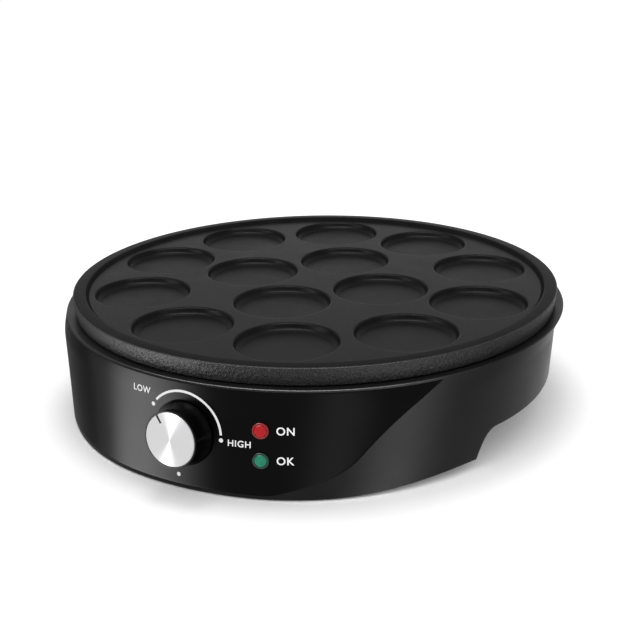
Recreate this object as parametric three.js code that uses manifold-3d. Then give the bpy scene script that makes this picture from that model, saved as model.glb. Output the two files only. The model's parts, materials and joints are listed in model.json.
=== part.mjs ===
// A countertop maker for small pancakes: a round cast plate with shallow wells on a low housing,
// heated from below and set by a knob at the front. Millimetres, +Z up, front towards -Y.
// Angles around the plate's axis are in degrees from the front, positive towards +X.
import * as THREE from 'three';
import { mergeVertices } from 'three/addons/utils/BufferGeometryUtils.js';
import Module from 'manifold-3d';

const wasm = await Module();
wasm.setup();

// Clearances shared by all pieces
const seatGap = 0.3;            // between pieces that touch
const fitGap = 0.4;             // around a shaft, stem or edge in its hole
const overrun = 2;              // how far a cutter passes the face that it opens
const weldDistance = 0.0001;    // corners closer than this are one corner
const probeStep = 0.3;          // reach to each side when a face's direction is measured

// Turns in degrees, and the number of sides of round pieces
const fullTurn = 360;
const halfTurn = 180;
const quarterTurn = 90;
const smallSides = 8;
const rodSides = 12;
const roundSides = 16;
const glandSides = 20;
const bulbSides = 10;
const wellSides = 18;
const ribSides = 30;
const knobSides = 30;
const panSides = 40;
const coverSides = 48;
const plateSides = 54;

// Plate
const deckHeight = 70.5;        // table to the top of the plate's rim
const plateRadius = 150;
const plateThick = 9.5;
const plateDraft = 1.6;         // the rim wall leans in by this much at its foot
const rimWidth = 8;
const rimFillet = 2;            // slope between the rim band and the plate's floor
const rimRound = 0.8;
const floorDrop = 2.4;          // plate's floor below the rim's top
const wellRadius = 29;
const wellDepth = 4.5;
const wellDraft = 1.2;
const wellFillet = 1.6;
const wellMargin = 3.7;         // floor between the outer wells and the rim
const wellGap = 4.6;            // least floor between two wells

// Heating element under the plate
const elementRadius = 4;
const elementBend = 7;
const elementDrop = 13.7;       // from the tube's centre line to the end of its turned-down legs
const elementEndAngle = 166;
const elementStops = 24;
const elementSides = 8;
const elementSteps = 48;
const bendShares = [1, 0.66, 0.33];
const ribWidth = 2.2;
const ribHeight = 6;
const clampThick = 1.2;
const clampMargin = 3.5;        // clamp beyond the ribs, each side
const clampEndAngle = 150;
const clampSteps = 24;
const clampBossOffset = 12;     // bosses outside the element's ring
const clampScrewSpread = 100;   // angle between two of the clamp's screws
const clampBossRadius = 4;
const clampScrewRadius = 1.5;
const clampEarRadius = 5.5;
const clampScrews = 3;
const pinRadius = 1.5;
const pinLength = 7;

// Plate bosses, and the long screws that hold plate, reflector and cover together
const bossOffset = 19;          // bosses outside the element's ring
const bossRadius = 5;
const bossAngle = 45;
const longScrewRadius = 2;
const longScrewGrip = 8;        // length held in the plate's boss
const pillarRadius = 4.6;

// Housing
const lipOverhang = 3.8;        // lip beyond the plate's rim
const lipGap = 1.1;             // shadow gap under the plate
const lipFlare = 9.9;           // height over which the wall runs out to the lip
const flarePower = 1.5;
const lipBand = 1.4;            // plain edge above the front panel
const footBand = 2.2;           // and below it, along the apron's edge
const shoulderDip = 0.8;        // shoulder's fall from the lip to the plate's underside
const shoulderTuck = 3.6;       // shoulder's inner edge under the plate's rim
const ledgeDrop = 3.9;
const ledgeWidth = 6;
const ledgeThick = 2.6;
const wallThick = 3.6;
const wallSetback = 1.85;       // mean of the wall's straight part inside the lip
const wallForward = 4.18;       // and its first, second and third waves around the axis
const wallOval = 1.055;
const wallShield = -1.682;
const frontFlare = 5.3;         // how far the foot of the wall stands out at the front
const rearFlare = 3;
const gripTuck = 3;             // and how far it tucks in at the hand grips
const flareStartAngle = 12;
const flareEndAngle = 66;
const gripDepth = 39.1;         // wall's depth at the hand grips, from the lip to the raised edge
const apronLift = 0.6;          // apron's edge above the table, at its middle
const apronRise = 4.2;          // and how much more it lifts towards its ends
const apronRiseAngle = 28;
const frontApronAngle = 60.7;
const rearApronAngle = 52;
const cornerAngle = 5.8;        // past an apron's end the edge rises over this angle
const cornerPower = 2.5;
const cornerShares = [0, 0.1, 0.22, 0.38, 0.6, 1];
const columnStep = 7.5;
const columnMerge = 0.3;        // two columns closer than this angle are one

// Front panel
const panelThick = 1.5;
const panelRightFoot = 77.2;    // arc length from the front to the panel's slanted edge, at the table
const panelSlant = 0.765;       // how much further round it lies for each mm of height
const panelSweep = 17.9;        // how much more it sweeps back towards the lip
const panelSweepPower = 3;
const panelLeftAngle = -58;     // the panel's upright left edge
const panelToe = 42;            // how far the slanted edge sweeps back at its toe
const panelToeHeight = 24;
const panelToePower = 2.54;
const panelRows = 8;
const panelColumns = 17;

// Cover, legs and feet
const coverThick = 2;
const coverDrop = 0.3;          // cover's underside below the grips' edge
const seatRib = 2.2;            // rib inside the wall that the cover seats against
const seatRibHeight = 3;
const legRadius = 10;
const legInset = 26;            // legs' axes inside the plate's rim
const frontLegAngle = 38;
const rearLegAngle = 36;
const footRadius = 8.5;
const footHeight = 3;
const footStemRadius = 3;
const footStemLength = 6;
const ventWidth = 3;
const ventLength = 34;
const ventPitch = 8;
const ventsPerBank = 6;
const ventBankOffset = 30;
const coverScrewInset = 3.6;    // screw's axis from the wall's inner face
const coverScrewRadius = 1.5;
const coverBossRadius = 4.5;
const coverBossHeight = 14;
const coverScrewAngles = [52, 132];

// Reflector
const panThick = 0.8;
const panFloorDrop = 15;        // reflector's floor below the plate's underside
const panWallInset = 3.4;       // reflector's wall inside the ledge
const panSlope = 4;
const panFlange = 5;

// Knob and its spindle, measured from the wall along the knob's axis
const knobDrop = 38.8;          // from the plate's rim down to the knob's axis
const knobBaseRadius = 17.8;
const knobBaseHeight = 2.2;
const knobNeckRadius = 16.2;
const knobFaceRadius = 15.6;
const knobProjection = 13;
const knobSkin = 2;
const knobHubRadius = 5.5;
const knobWallGap = 0.6;
const capRadius = 14.6;
const capThick = 1;
const capBevel = 0.35;
const pointerWidth = 2;
const pointerLength = 4.8;
const pointerAngle = -33;       // clockwise from straight up, at rest
const knobOffAngle = -173;
const knobMaxAngle = 92;
const spindleRadius = 3;
const spindleFlat = 1;
const spindleSocket = 8;        // length of spindle inside the knob
const bushRadius = 4.5;
const bushFlangeRadius = 6.5;
const bushFlangeThick = 1.2;

// Thermostat behind the knob
const bracketDepth = 12;        // bracket's web behind the wall's face
const bracketThick = 1.2;
const bracketHalfWidth = 23;
const bracketHalfHeight = 7;
const bracketScrewOffset = 17;
const bracketBossRadius = 4;
const bracketScrewRadius = 1.4;
const camRadius = 7;
const camThick = 1.6;
const camLift = 2;              // rise of the cam over the knob's whole travel
const camTrack = 5;             // radius at which the push pin rides
const camDwellAngle = 20;       // level stretch before the ramp starts
const camSteps = 36;
const pushPinRadius = 1.3;
const pushPinLength = 5.5;
const guideThick = 1.2;
const armThick = 0.5;
const armWidth = 5;
const armLength = 25;
const armRoot = -12;            // where the arms leave the ceramic stack
const stackLength = 11;
const stackWidth = 10;
const stackDepth = 14;
const bladeThick = 0.8;
const contactRadius = 1.6;
const contactHeight = 0.8;
const contactGap = 1.6;
const tabWidth = 5;
const tabLength = 8;
const tagThick = 0.8;

// Pilot lamps
const lampAngle = 15.8;
const upperLampRise = 6.7;        // above the knob's axis
const lowerLampDrop = 9.4;     // and below it
const bezelRadius = 4.7;
const bezelHeight = 1;
const lensRadius = 3.7;
const lensDome = 1.1;
const lensStem = 9;
const lensSkin = 0.8;
const bulbRadius = 2.2;
const bulbLength = 12;

// Rear: gland, terminal block, thermal fuse, leads
const glandDrop = 34.5;         // from the plate's rim
const glandRadius = 6.6;
const glandBore = 3.6;
const glandFlangeRadius = 9;
const glandFlangeThick = 2.4;
const glandNose = 5;
const glandNoseRadius = 5.4;
const blockLength = 36;
const blockWidth = 16;
const blockHeight = 12;
const blockInset = 33;          // block's middle inside the plate's rim
const blockPoles = 3;
const blockEnd = 7;             // from an outer pole to the block's end
const blockBore = 2;
const fuseRadius = 2.2;
const fuseLength = 12;
const fuseInset = 16;           // fuse inside the element's ring
const fuseEndShare = 0.6;
const fuseAngle = -125;
const strapWidth = 7;
const strapThick = 0.8;
const strapEar = 8;
const leadRadius = 1.2;
const leadSides = 5;
const leadSteps = 18;
const leadClear = 3;            // leads' height above the cover, and their way round other pieces
const leadStraight = 12;        // stretch beside an end before a lead bends away
const pinDropShares = [0.77, 0.38];
const fuseTurnShare = 0.6;
const bladeTurnShare = 0.4;
const fuseBendShare = 0.3;
const fuseLeadAngles = [-100, -62, -30];
const liveLeadAngles = [130, 70, 0, -18];
const bushWall = 1.5;
const bushRise = 2;             // bush's end above the reflector's underside
const earthInset = 27;          // earth tag's screw inside the block's middle

// Screw heads, and the length that a screw in sheet metal holds
const smallHeadRadius = 2.8;
const smallHeadHeight = 1.6;
const longHeadRadius = 4;
const longHeadHeight = 2.2;
const bracketHeadRadius = 2.6;
const bracketHeadHeight = 1.5;
const earthHeadRadius = 2.3;
const sheetScrewReach = 2.4;

// Rings worked out from the sizes above
const outerRing = plateRadius - rimWidth - rimFillet - wellRadius - wellMargin;
const innerRing = outerRing - 2 * wellRadius - wellGap;
const wellsAround = (ring) => Math.max(Math.floor((2 * Math.PI * ring) / (2 * wellRadius + wellGap)), 1);
const outerWells = wellsAround(outerRing);
const innerWells = wellsAround(innerRing);
const elementRing = (outerRing + innerRing) / 2;
const clampBossRing = elementRing + clampBossOffset;
const bossRing = elementRing + bossOffset;
const fuseRing = elementRing - fuseInset;
const lipRadius = plateRadius + lipOverhang;
const wallMean = lipRadius - wallSetback;
const shoulderInner = plateRadius - shoulderTuck;
const ledgeInner = shoulderInner - ledgeWidth;
const panWallRadius = ledgeInner - panWallInset;
const legRing = plateRadius - legInset;
const blockRing = plateRadius - blockInset;
const earthRing = blockRing - earthInset;
const blockPitch = (blockLength - 2 * blockEnd) / (blockPoles - 1);
const bushBore = elementRadius + seatGap;

// Heights worked out from them
const plateBase = deckHeight - plateThick;
const floorHeight = deckHeight - floorDrop;
const lipHeight = plateBase - lipGap;
const wallTop = lipHeight - lipFlare;
const ledgeTop = lipHeight - ledgeDrop;
const gripHeight = lipHeight - gripDepth;
const coverBase = gripHeight - coverDrop;
const coverTop = coverBase + coverThick;
const panFloor = plateBase - panFloorDrop;
const elementHeight = plateBase - seatGap - elementRadius;
const clampTop = elementHeight - elementRadius - seatGap;
const clampBase = clampTop - clampThick;
const bossBase = panFloor + panThick + seatGap;
const pinTop = elementHeight - elementDrop - seatGap;
const tagHigh = panFloor - seatGap;
const tagLow = tagHigh - tagThick;
const blockBase = coverTop + seatGap;
const blockBoreHeight = blockBase + blockHeight / 2;
const knobHeight = deckHeight - knobDrop;
const upperLampHeight = knobHeight + upperLampRise;
const lowerLampHeight = knobHeight - lowerLampDrop;
const glandHeight = deckHeight - glandDrop;

// Places along the knob's axis, from the wall's face
const webFront = -bracketDepth - seatGap;
const webBack = webFront - bracketThick;
const camFront = webBack - seatGap - bushFlangeThick - seatGap;
const camBack = camFront - camThick;
const restShare = (pointerAngle - knobOffAngle) / (knobMaxAngle - knobOffAngle);
const pinFront = camBack - camLift * restShare - fitGap;
const pinBack = pinFront - pushPinLength;
const guideFront = camBack - camLift - 2 * fitGap;
const stackFront = guideFront - guideThick - seatGap;
const armFront = pinBack - fitGap;
const bladeFront = armFront - armThick - contactHeight * 2 - contactGap;
const bimetalFront = bladeFront - bladeThick - contactGap;
const bracketHoleDepth = bracketDepth - panelThick - bracketThick - 3 * seatGap;

const finish = (color, roughness, metalness) =>
  new THREE.MeshStandardMaterial({ color, roughness, metalness });
const castPlate = finish(0x2c2c2e, 0.6, 0.3);
const satinPlastic = finish(0x2b2c2f, 0.55, 0);
const glossPlastic = finish(0x08080a, 0.12, 0);
const spunAluminium = finish(0xb9babc, 0.35, 1);
const steel = finish(0x9a9c9f, 0.4, 1);
const brass = finish(0xb08d45, 0.35, 1);
const ceramic = finish(0xe6e1d6, 0.7, 0);
const rubber = finish(0x161617, 0.9, 0);
const redLens = finish(0xb81a12, 0.25, 0);
const greenLens = finish(0x2f8f3a, 0.25, 0);
const glass = finish(0xdfe6e6, 0.1, 0);
const insulation = finish(0xd8d4c8, 0.8, 0);

const rad = THREE.MathUtils.degToRad;
const around = (radius, angle, height) =>
  new THREE.Vector3(radius * Math.sin(rad(angle)), -radius * Math.cos(rad(angle)), height);

const maker = new THREE.Group();

function place(name, geometry, material, parent = maker) {
  const mesh = new THREE.Mesh(geometry, material.clone());
  mesh.name = name;
  parent.add(mesh);
  return mesh;
}

// Merges shared corners and turns the faces outward
function closed(geometry) {
  const bare = geometry.clone();
  for (const name of Object.keys(bare.attributes)) {
    if (name !== 'position') bare.deleteAttribute(name);
  }
  const merged = mergeVertices(bare, weldDistance);
  const p = merged.attributes.position;
  const source = merged.index.array;
  const kept = [];
  let volume = 0;
  const [a, b, c] = [new THREE.Vector3(), new THREE.Vector3(), new THREE.Vector3()];
  for (let i = 0; i < source.length; i += 3) {
    const [u, v, w] = [source[i], source[i + 1], source[i + 2]];
    if (u === v || v === w || w === u) continue;
    kept.push(u, v, w);
    a.fromBufferAttribute(p, u);
    b.fromBufferAttribute(p, v);
    c.fromBufferAttribute(p, w);
    volume += a.dot(b.cross(c));
  }
  if (volume < 0) kept.reverse();
  merged.setIndex(kept);
  return merged;
}

function solid(geometry) {
  const shape = closed(geometry);
  return new wasm.Manifold(new wasm.Mesh({
    numProp: 3,
    vertProperties: new Float32Array(shape.attributes.position.array),
    triVerts: new Uint32Array(shape.index.array),
  }));
}

function geometryOf(manifold) {
  const mesh = manifold.getMesh();
  const geometry = new THREE.BufferGeometry();
  geometry.setAttribute('position', new THREE.BufferAttribute(new Float32Array(mesh.vertProperties), 3));
  geometry.setIndex(new THREE.BufferAttribute(new Uint32Array(mesh.triVerts), 1));
  return geometry;
}

// Joins the first list of geometries and cuts the second list from the result
function build(parts, cuts = []) {
  let body = solid(parts[0]);
  for (const part of parts.slice(1)) body = body.add(solid(part));
  for (const cut of cuts) body = body.subtract(solid(cut));
  return geometryOf(body);
}

// A turned shape about Z from a profile of [radius, height] points
function turned(profile, segments) {
  const points = profile.map(([r, z]) => new THREE.Vector2(Math.max(r, 0), z));
  const geometry = new THREE.LatheGeometry(points, segments);
  geometry.rotateX(Math.PI / 2);
  return closed(geometry);
}

function rod(radius, low, high, segments = rodSides) {
  return turned([[0, low], [radius, low], [radius, high], [0, high]], segments);
}

function pipe(inner, outer, low, high, segments = roundSides) {
  return turned([[inner, low], [outer, low], [outer, high], [inner, high], [inner, low]], segments);
}

function box(low, high) {
  const size = new THREE.Vector3().subVectors(high, low);
  const geometry = new THREE.BoxGeometry(size.x, size.y, size.z);
  geometry.translate((low.x + high.x) / 2, (low.y + high.y) / 2, (low.z + high.z) / 2);
  return geometry;
}

const at = (x, y, z) => new THREE.Vector3(x, y, z);

function moved(geometry, position) {
  return geometry.clone().translate(position.x, position.y, position.z);
}

function prism(outline, low, high) {
  const shape = new THREE.Shape(outline);
  const geometry = new THREE.ExtrudeGeometry(shape, { depth: high - low, bevelEnabled: false });
  geometry.translate(0, 0, low);
  return closed(geometry);
}

function ringOutline(radius, count, centre = { x: 0, y: 0 }) {
  const points = [];
  for (let i = 0; i < count; i += 1) {
    const turn = (2 * Math.PI * i) / count;
    points.push(new THREE.Vector2(centre.x + radius * Math.cos(turn), centre.y + radius * Math.sin(turn)));
  }
  return points;
}

function tube(points, radius, sides, steps) {
  const path = new THREE.CatmullRomCurve3(points, false, 'centripetal');
  const section = new THREE.Shape(ringOutline(radius, sides));
  return closed(new THREE.ExtrudeGeometry(section, { steps, extrudePath: path, bevelEnabled: false }));
}

// A closed skin over a grid of points: loops[i][j], with both directions running round
function skin(loops) {
  const columns = loops.length;
  const rows = loops[0].length;
  const positions = loops.flat().flatMap((point) => [point.x, point.y, point.z]);
  const index = [];
  for (let i = 0; i < columns; i += 1) {
    for (let j = 0; j < rows; j += 1) {
      const a = i * rows + j;
      const b = ((i + 1) % columns) * rows + j;
      const c = ((i + 1) % columns) * rows + ((j + 1) % rows);
      const d = i * rows + ((j + 1) % rows);
      index.push(a, b, c, a, c, d);
    }
  }
  const geometry = new THREE.BufferGeometry();
  geometry.setAttribute('position', new THREE.Float32BufferAttribute(positions, 3));
  geometry.setIndex(index);
  return closed(geometry);
}

// A closed slab between two sheets: sheet(u, v, side) gives a point for u, v in 0..1 and side 0 or 1
function slab(sheet, columns, rows) {
  const positions = [];
  const index = [];
  const id = (i, j, side) => (side * (columns + 1) + i) * (rows + 1) + j;
  for (let side = 0; side < 2; side += 1) {
    for (let i = 0; i <= columns; i += 1) {
      for (let j = 0; j <= rows; j += 1) {
        const point = sheet(i / columns, j / rows, side);
        positions.push(point.x, point.y, point.z);
      }
    }
  }
  const quad = (a, b, c, d) => index.push(a, b, c, a, c, d);
  for (let i = 0; i < columns; i += 1) {
    for (let j = 0; j < rows; j += 1) {
      quad(id(i, j, 0), id(i + 1, j, 0), id(i + 1, j + 1, 0), id(i, j + 1, 0));
      quad(id(i, j, 1), id(i, j + 1, 1), id(i + 1, j + 1, 1), id(i + 1, j, 1));
    }
    quad(id(i, 0, 0), id(i, 0, 1), id(i + 1, 0, 1), id(i + 1, 0, 0));
    quad(id(i, rows, 0), id(i + 1, rows, 0), id(i + 1, rows, 1), id(i, rows, 1));
  }
  for (let j = 0; j < rows; j += 1) {
    quad(id(0, j, 0), id(0, j + 1, 0), id(0, j + 1, 1), id(0, j, 1));
    quad(id(columns, j, 0), id(columns, j, 1), id(columns, j + 1, 1), id(columns, j + 1, 0));
  }
  const geometry = new THREE.BufferGeometry();
  geometry.setAttribute('position', new THREE.Float32BufferAttribute(positions, 3));
  geometry.setIndex(index);
  return closed(geometry);
}

// A machine screw about Z with its head's seat at height 0, the head below and the shank above
function screw(headRadius, headHeight, shankRadius, length) {
  return turned([
    [0, -headHeight],
    [headRadius, -headHeight],
    [headRadius, 0],
    [shankRadius, 0],
    [shankRadius, length],
    [0, length],
  ], smallSides);
}

// Outer face of the housing's wall
const smooth = (x, low, high) => THREE.MathUtils.smoothstep(x, low, high);
const fromFront = (angle) => Math.abs(THREE.MathUtils.euclideanModulo(angle + halfTurn, fullTurn) - halfTurn);

function wallRadius(angle, height) {
  const turn = rad(angle);
  const section = wallMean + wallForward * Math.cos(turn) + wallOval * Math.cos(2 * turn)
    + wallShield * Math.cos(3 * turn);
  if (height >= wallTop) {
    const rise = (height - wallTop) / (lipHeight - wallTop);
    return section + (lipRadius - section) * rise ** flarePower;
  }
  const off = fromFront(angle);
  const flare = off < quarterTurn ? frontFlare : rearFlare;
  const tuck = smooth(Math.min(off, halfTurn - off), flareStartAngle, flareEndAngle);
  const foot = flare - (flare + gripTuck) * tuck;
  return section + foot * (1 - height / wallTop);
}

// Height of an apron's edge, which lifts a little towards its ends
function apronHeight(angle) {
  const off = fromFront(angle);
  return apronLift + apronRise * smooth(Math.min(off, halfTurn - off), apronRiseAngle, frontApronAngle);
}

// Height of the housing's lower edge: aprons front and rear, hand grips at the sides
function edgeHeight(angle) {
  const off = fromFront(angle);
  const past = Math.min(off - frontApronAngle, halfTurn - off - rearApronAngle) / cornerAngle;
  const left = (1 - THREE.MathUtils.clamp(past, 0, 1)) ** cornerPower;
  return gripHeight - (gripHeight - apronHeight(angle)) * left;
}

// A frame on the wall: z along the outward normal, x to the right as seen from outside, y up
function wallFrame(angle, height) {
  const side = THREE.MathUtils.radToDeg(probeStep / wallRadius(angle, height));
  const right = around(wallRadius(angle + side, height), angle + side, height)
    .sub(around(wallRadius(angle - side, height), angle - side, height)).normalize();
  const lift = around(wallRadius(angle, height + probeStep), angle, height + probeStep)
    .sub(around(wallRadius(angle, height - probeStep), angle, height - probeStep)).normalize();
  const out = new THREE.Vector3().crossVectors(right, lift).normalize();
  const up = new THREE.Vector3().crossVectors(out, right);
  const matrix = new THREE.Matrix4().makeBasis(right, up, out);
  matrix.setPosition(around(wallRadius(angle, height), angle, height));
  return matrix;
}

function group(matrix) {
  const holder = new THREE.Group();
  matrix.decompose(holder.position, holder.quaternion, holder.scale);
  maker.add(holder);
  return holder;
}

const controlFrame = wallFrame(0, knobHeight);
const upperLampFrame = wallFrame(lampAngle, upperLampHeight);
const lowerLampFrame = wallFrame(lampAngle, lowerLampHeight);
const glandFrame = wallFrame(halfTurn, glandHeight);
const lampFrames = [upperLampFrame, lowerLampFrame];
const onFrame = (geometry, frame) => geometry.clone().applyMatrix4(frame);

const bossAngles = [bossAngle, halfTurn - bossAngle, halfTurn + bossAngle, -bossAngle];
const legAngles = [-frontLegAngle, frontLegAngle, halfTurn - rearLegAngle, rearLegAngle - halfTurn];
const clampAngles = Array.from(
  { length: clampScrews },
  (_, i) => (i - (clampScrews - 1) / 2) * clampScrewSpread,
);
const elementLegs = [elementEndAngle, -elementEndAngle];

// Cast plate with its wells, element ribs and bosses
function cookingPlate() {
  const inner = plateRadius - rimWidth;
  const parts = [turned([
    [0, plateBase],
    [plateRadius - plateDraft, plateBase],
    [plateRadius, deckHeight - rimRound],
    [plateRadius - rimRound, deckHeight],
    [inner + rimRound, deckHeight],
    [inner, deckHeight - rimRound],
    [inner - rimFillet, floorHeight],
    [0, floorHeight],
  ], plateSides)];
  const ribBase = plateBase - ribHeight;
  const inside = elementRing - elementRadius - seatGap;
  const outside = elementRing + elementRadius + seatGap;
  const sunk = plateBase + wellFillet;
  parts.push(pipe(inside - ribWidth, inside, ribBase, sunk, ribSides));
  parts.push(pipe(outside, outside + ribWidth, ribBase, sunk, ribSides));
  for (const angle of bossAngles) {
    parts.push(moved(rod(bossRadius, bossBase, sunk), around(bossRing, angle, 0)));
  }
  for (const angle of clampAngles) {
    parts.push(moved(rod(clampBossRadius, clampTop + seatGap, sunk), around(clampBossRing, angle, 0)));
  }
  const cuts = [];
  const bottom = floorHeight - wellDepth;
  const foot = wellRadius - wellDraft;
  const well = turned([
    [0, bottom],
    [foot - wellFillet, bottom],
    [foot, bottom + wellFillet],
    [wellRadius, floorHeight],
    [wellRadius, floorHeight + overrun],
    [0, floorHeight + overrun],
  ], wellSides);
  for (let i = 0; i < outerWells; i += 1) {
    cuts.push(moved(well, around(outerRing, (fullTurn / outerWells) * (i + 1 / 2), 0)));
  }
  for (let i = 0; i < innerWells; i += 1) {
    cuts.push(moved(well, around(innerRing, (fullTurn / innerWells) * i, 0)));
  }
  const longHole = rod(longScrewRadius + seatGap, bossBase - overrun, bossBase + longScrewGrip + seatGap);
  for (const angle of bossAngles) cuts.push(moved(longHole, around(bossRing, angle, 0)));
  const shortHole = rod(clampScrewRadius + seatGap, clampTop - overrun, plateBase);
  for (const angle of clampAngles) cuts.push(moved(shortHole, around(clampBossRing, angle, 0)));
  return build(parts, cuts);
}

// Tubular element: a ring with both ends turned down
function heatingElement() {
  const points = [];
  const bendAngle = THREE.MathUtils.radToDeg(elementBend / elementRing);
  const ringEnd = elementEndAngle - bendAngle;
  const bend = (side) => {
    const list = [];
    for (const share of bendShares) {
      const turn = share * Math.PI / 2;
      const along = THREE.MathUtils.radToDeg(elementBend * Math.sin(turn) / elementRing);
      const height = elementHeight - elementBend * (1 - Math.cos(turn));
      list.push(around(elementRing, side * (ringEnd + along), height));
    }
    return list;
  };
  const end = (side) => around(elementRing, side * elementEndAngle, elementHeight - elementDrop);
  const leg = (side) => end(side).setZ(elementHeight - (elementBend + elementDrop) / 2);
  points.push(end(-1), leg(-1), ...bend(-1));
  for (let i = 0; i <= elementStops; i += 1) {
    points.push(around(elementRing, -ringEnd + (2 * ringEnd * i) / elementStops, elementHeight));
  }
  points.push(...bend(1).reverse(), leg(1), end(1));
  return tube(points, elementRadius, elementSides, elementSteps);
}

// Sector of a flat ring, centred on the front
function ringSector(inner, outer, endAngle, low, high) {
  const outline = [];
  for (let i = 0; i <= clampSteps; i += 1) {
    const point = around(outer, -endAngle + (2 * endAngle * i) / clampSteps, 0);
    outline.push(new THREE.Vector2(point.x, point.y));
  }
  for (let i = clampSteps; i >= 0; i -= 1) {
    const point = around(inner, -endAngle + (2 * endAngle * i) / clampSteps, 0);
    outline.push(new THREE.Vector2(point.x, point.y));
  }
  return prism(outline, low, high);
}

function elementClamp() {
  const reach = elementRadius + ribWidth + clampMargin;
  const parts = [ringSector(elementRing - reach, elementRing + reach, clampEndAngle, clampBase, clampTop)];
  const cuts = [];
  for (const angle of clampAngles) {
    const centre = around(clampBossRing, angle, 0);
    parts.push(moved(rod(clampEarRadius, clampBase, clampTop), centre));
    cuts.push(moved(rod(clampScrewRadius + seatGap, clampBase - overrun, clampTop + overrun), centre));
  }
  return build(parts, cuts);
}

// Thin pan that keeps the heat off the housing
function heatReflector() {
  const flangeBase = ledgeTop + seatGap;
  const floorRadius = panWallRadius - panSlope;
  const pan = turned([
    [0, panFloor],
    [floorRadius, panFloor],
    [panWallRadius + panThick, flangeBase],
    [panWallRadius + panThick + panFlange, flangeBase],
    [panWallRadius + panThick + panFlange, flangeBase + panThick],
    [panWallRadius, flangeBase + panThick],
    [floorRadius - panThick, panFloor + panThick],
    [0, panFloor + panThick],
  ], panSides);
  const cuts = bossAngles.map((angle) => moved(
    rod(longScrewRadius + seatGap, panFloor - overrun, panFloor + overrun),
    around(bossRing, angle, 0),
  ));
  for (const angle of elementLegs) {
    const hole = rod(bushBore + bushWall + seatGap, panFloor - overrun, panFloor + overrun, roundSides);
    cuts.push(moved(hole, around(elementRing, angle, 0)));
  }
  const screwHole = rod(clampScrewRadius + seatGap, panFloor - overrun, panFloor + overrun);
  cuts.push(moved(screwHole, strapScrewCentre()), moved(screwHole, around(earthRing, halfTurn, 0)));
  return build([pan], cuts);
}

function columnAngles() {
  const angles = new Set();
  for (let angle = 0; angle < fullTurn; angle += columnStep) angles.add(angle);
  for (const share of cornerShares) {
    const front = frontApronAngle + cornerAngle * share;
    const rear = halfTurn - rearApronAngle - cornerAngle * share;
    for (const angle of [front, fullTurn - front, rear, fullTurn - rear]) angles.add(angle);
  }
  return [...angles].sort((a, b) => a - b)
    .filter((angle, i, list) => i === 0 || angle - list[i - 1] > columnMerge);
}

// Wall, shoulder and ledge as one moulded ring
function housingShell() {
  const wallShares = [0, 0.5, 1];
  const flareShares = [0.5, 1];
  const ribLow = coverTop + seatGap;
  const loops = columnAngles().map((angle) => {
    const edge = edgeHeight(angle);
    const point = (radius, height) => around(radius, angle, height);
    const inside = (height, extra = 0) => point(wallRadius(angle, height) - wallThick - extra, height);
    const loop = wallShares.map((share) => edge + (wallTop - edge) * share)
      .map((height) => point(wallRadius(angle, height), height));
    for (const share of flareShares) {
      const height = wallTop + lipFlare * share;
      loop.push(point(wallRadius(angle, height), height));
    }
    const flangeBase = ledgeTop - ledgeThick;
    loop.push(point(shoulderInner, lipHeight - shoulderDip));
    loop.push(point(shoulderInner, ledgeTop));
    loop.push(point(ledgeInner, ledgeTop));
    loop.push(point(ledgeInner, flangeBase));
    loop.push(inside(wallTop));
    loop.push(inside(ribLow + seatRibHeight));
    loop.push(inside(ribLow + seatRibHeight - seatRib / 2, seatRib));
    loop.push(inside(ribLow, seatRib));
    loop.push(inside(ribLow));
    loop.push(inside(edge));
    return loop;
  });
  const shell = skin(loops);
  const parts = [shell];
  const cuts = [panelSheet(seatGap, overrun)];
  for (const centre of coverScrewCentres()) {
    parts.push(moved(rod(coverBossRadius, coverTop + seatGap, coverTop + coverBossHeight), centre));
    const hole = rod(coverScrewRadius + seatGap, coverTop - overrun, coverTop + coverBossHeight - seatRib);
    cuts.push(moved(hole, centre));
  }
  for (const side of [-1, 1]) {
    const centre = at(side * bracketScrewOffset, 0, 0);
    const front = -panelThick - seatGap - bracketThick;
    parts.push(onFrame(moved(rod(bracketBossRadius, -bracketDepth, front), centre), controlFrame));
    const hole = rod(bracketScrewRadius + seatGap, -bracketDepth - overrun, -bracketDepth + bracketHoleDepth);
    cuts.push(onFrame(moved(hole, centre), controlFrame));
  }
  const reach = wallThick + seatRib + overrun;
  cuts.push(onFrame(rod(bushRadius + fitGap, -reach, overrun, roundSides), controlFrame));
  for (const frame of lampFrames) {
    cuts.push(onFrame(rod(lensRadius + fitGap, -reach, overrun, roundSides), frame));
  }
  cuts.push(onFrame(rod(glandRadius + fitGap, -reach, overrun, glandSides), glandFrame));
  return build(parts, cuts);
}

function coverScrewCentres() {
  return coverScrewAngles.flatMap((angle) => [angle, -angle])
    .map((angle) => around(wallRadius(angle, coverTop) - wallThick - coverScrewInset, angle, 0));
}

// The panel's slanted right edge, as an angle at a height
function panelRight(height) {
  const toe = Math.max(1 - height / panelToeHeight, 0) ** panelToePower;
  const sweep = (height / lipHeight) ** panelSweepPower;
  const arc = panelRightFoot + panelSlant * height + panelSweep * sweep - panelToe * toe;
  return THREE.MathUtils.radToDeg(arc / wallRadius(0, height));
}

// The panel's body, or with a margin the recess that takes it
function panelSheet(margin, proud) {
  const foot = footBand - margin;
  const high = lipHeight - lipBand + margin;
  const spread = THREE.MathUtils.radToDeg(margin / lipRadius);
  return slab((u, v, side) => {
    const upright = apronLift + foot + (high - apronLift - foot) * v;
    const left = panelLeftAngle - spread;
    const angle = left + (panelRight(upright) + spread - left) * u;
    const low = apronHeight(angle) + foot;
    const height = low + (high - low) * v;
    const depth = side === 0 ? -(panelThick + margin) : proud;
    return around(wallRadius(angle, height) + depth, angle, height);
  }, panelColumns, panelRows);
}

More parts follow.
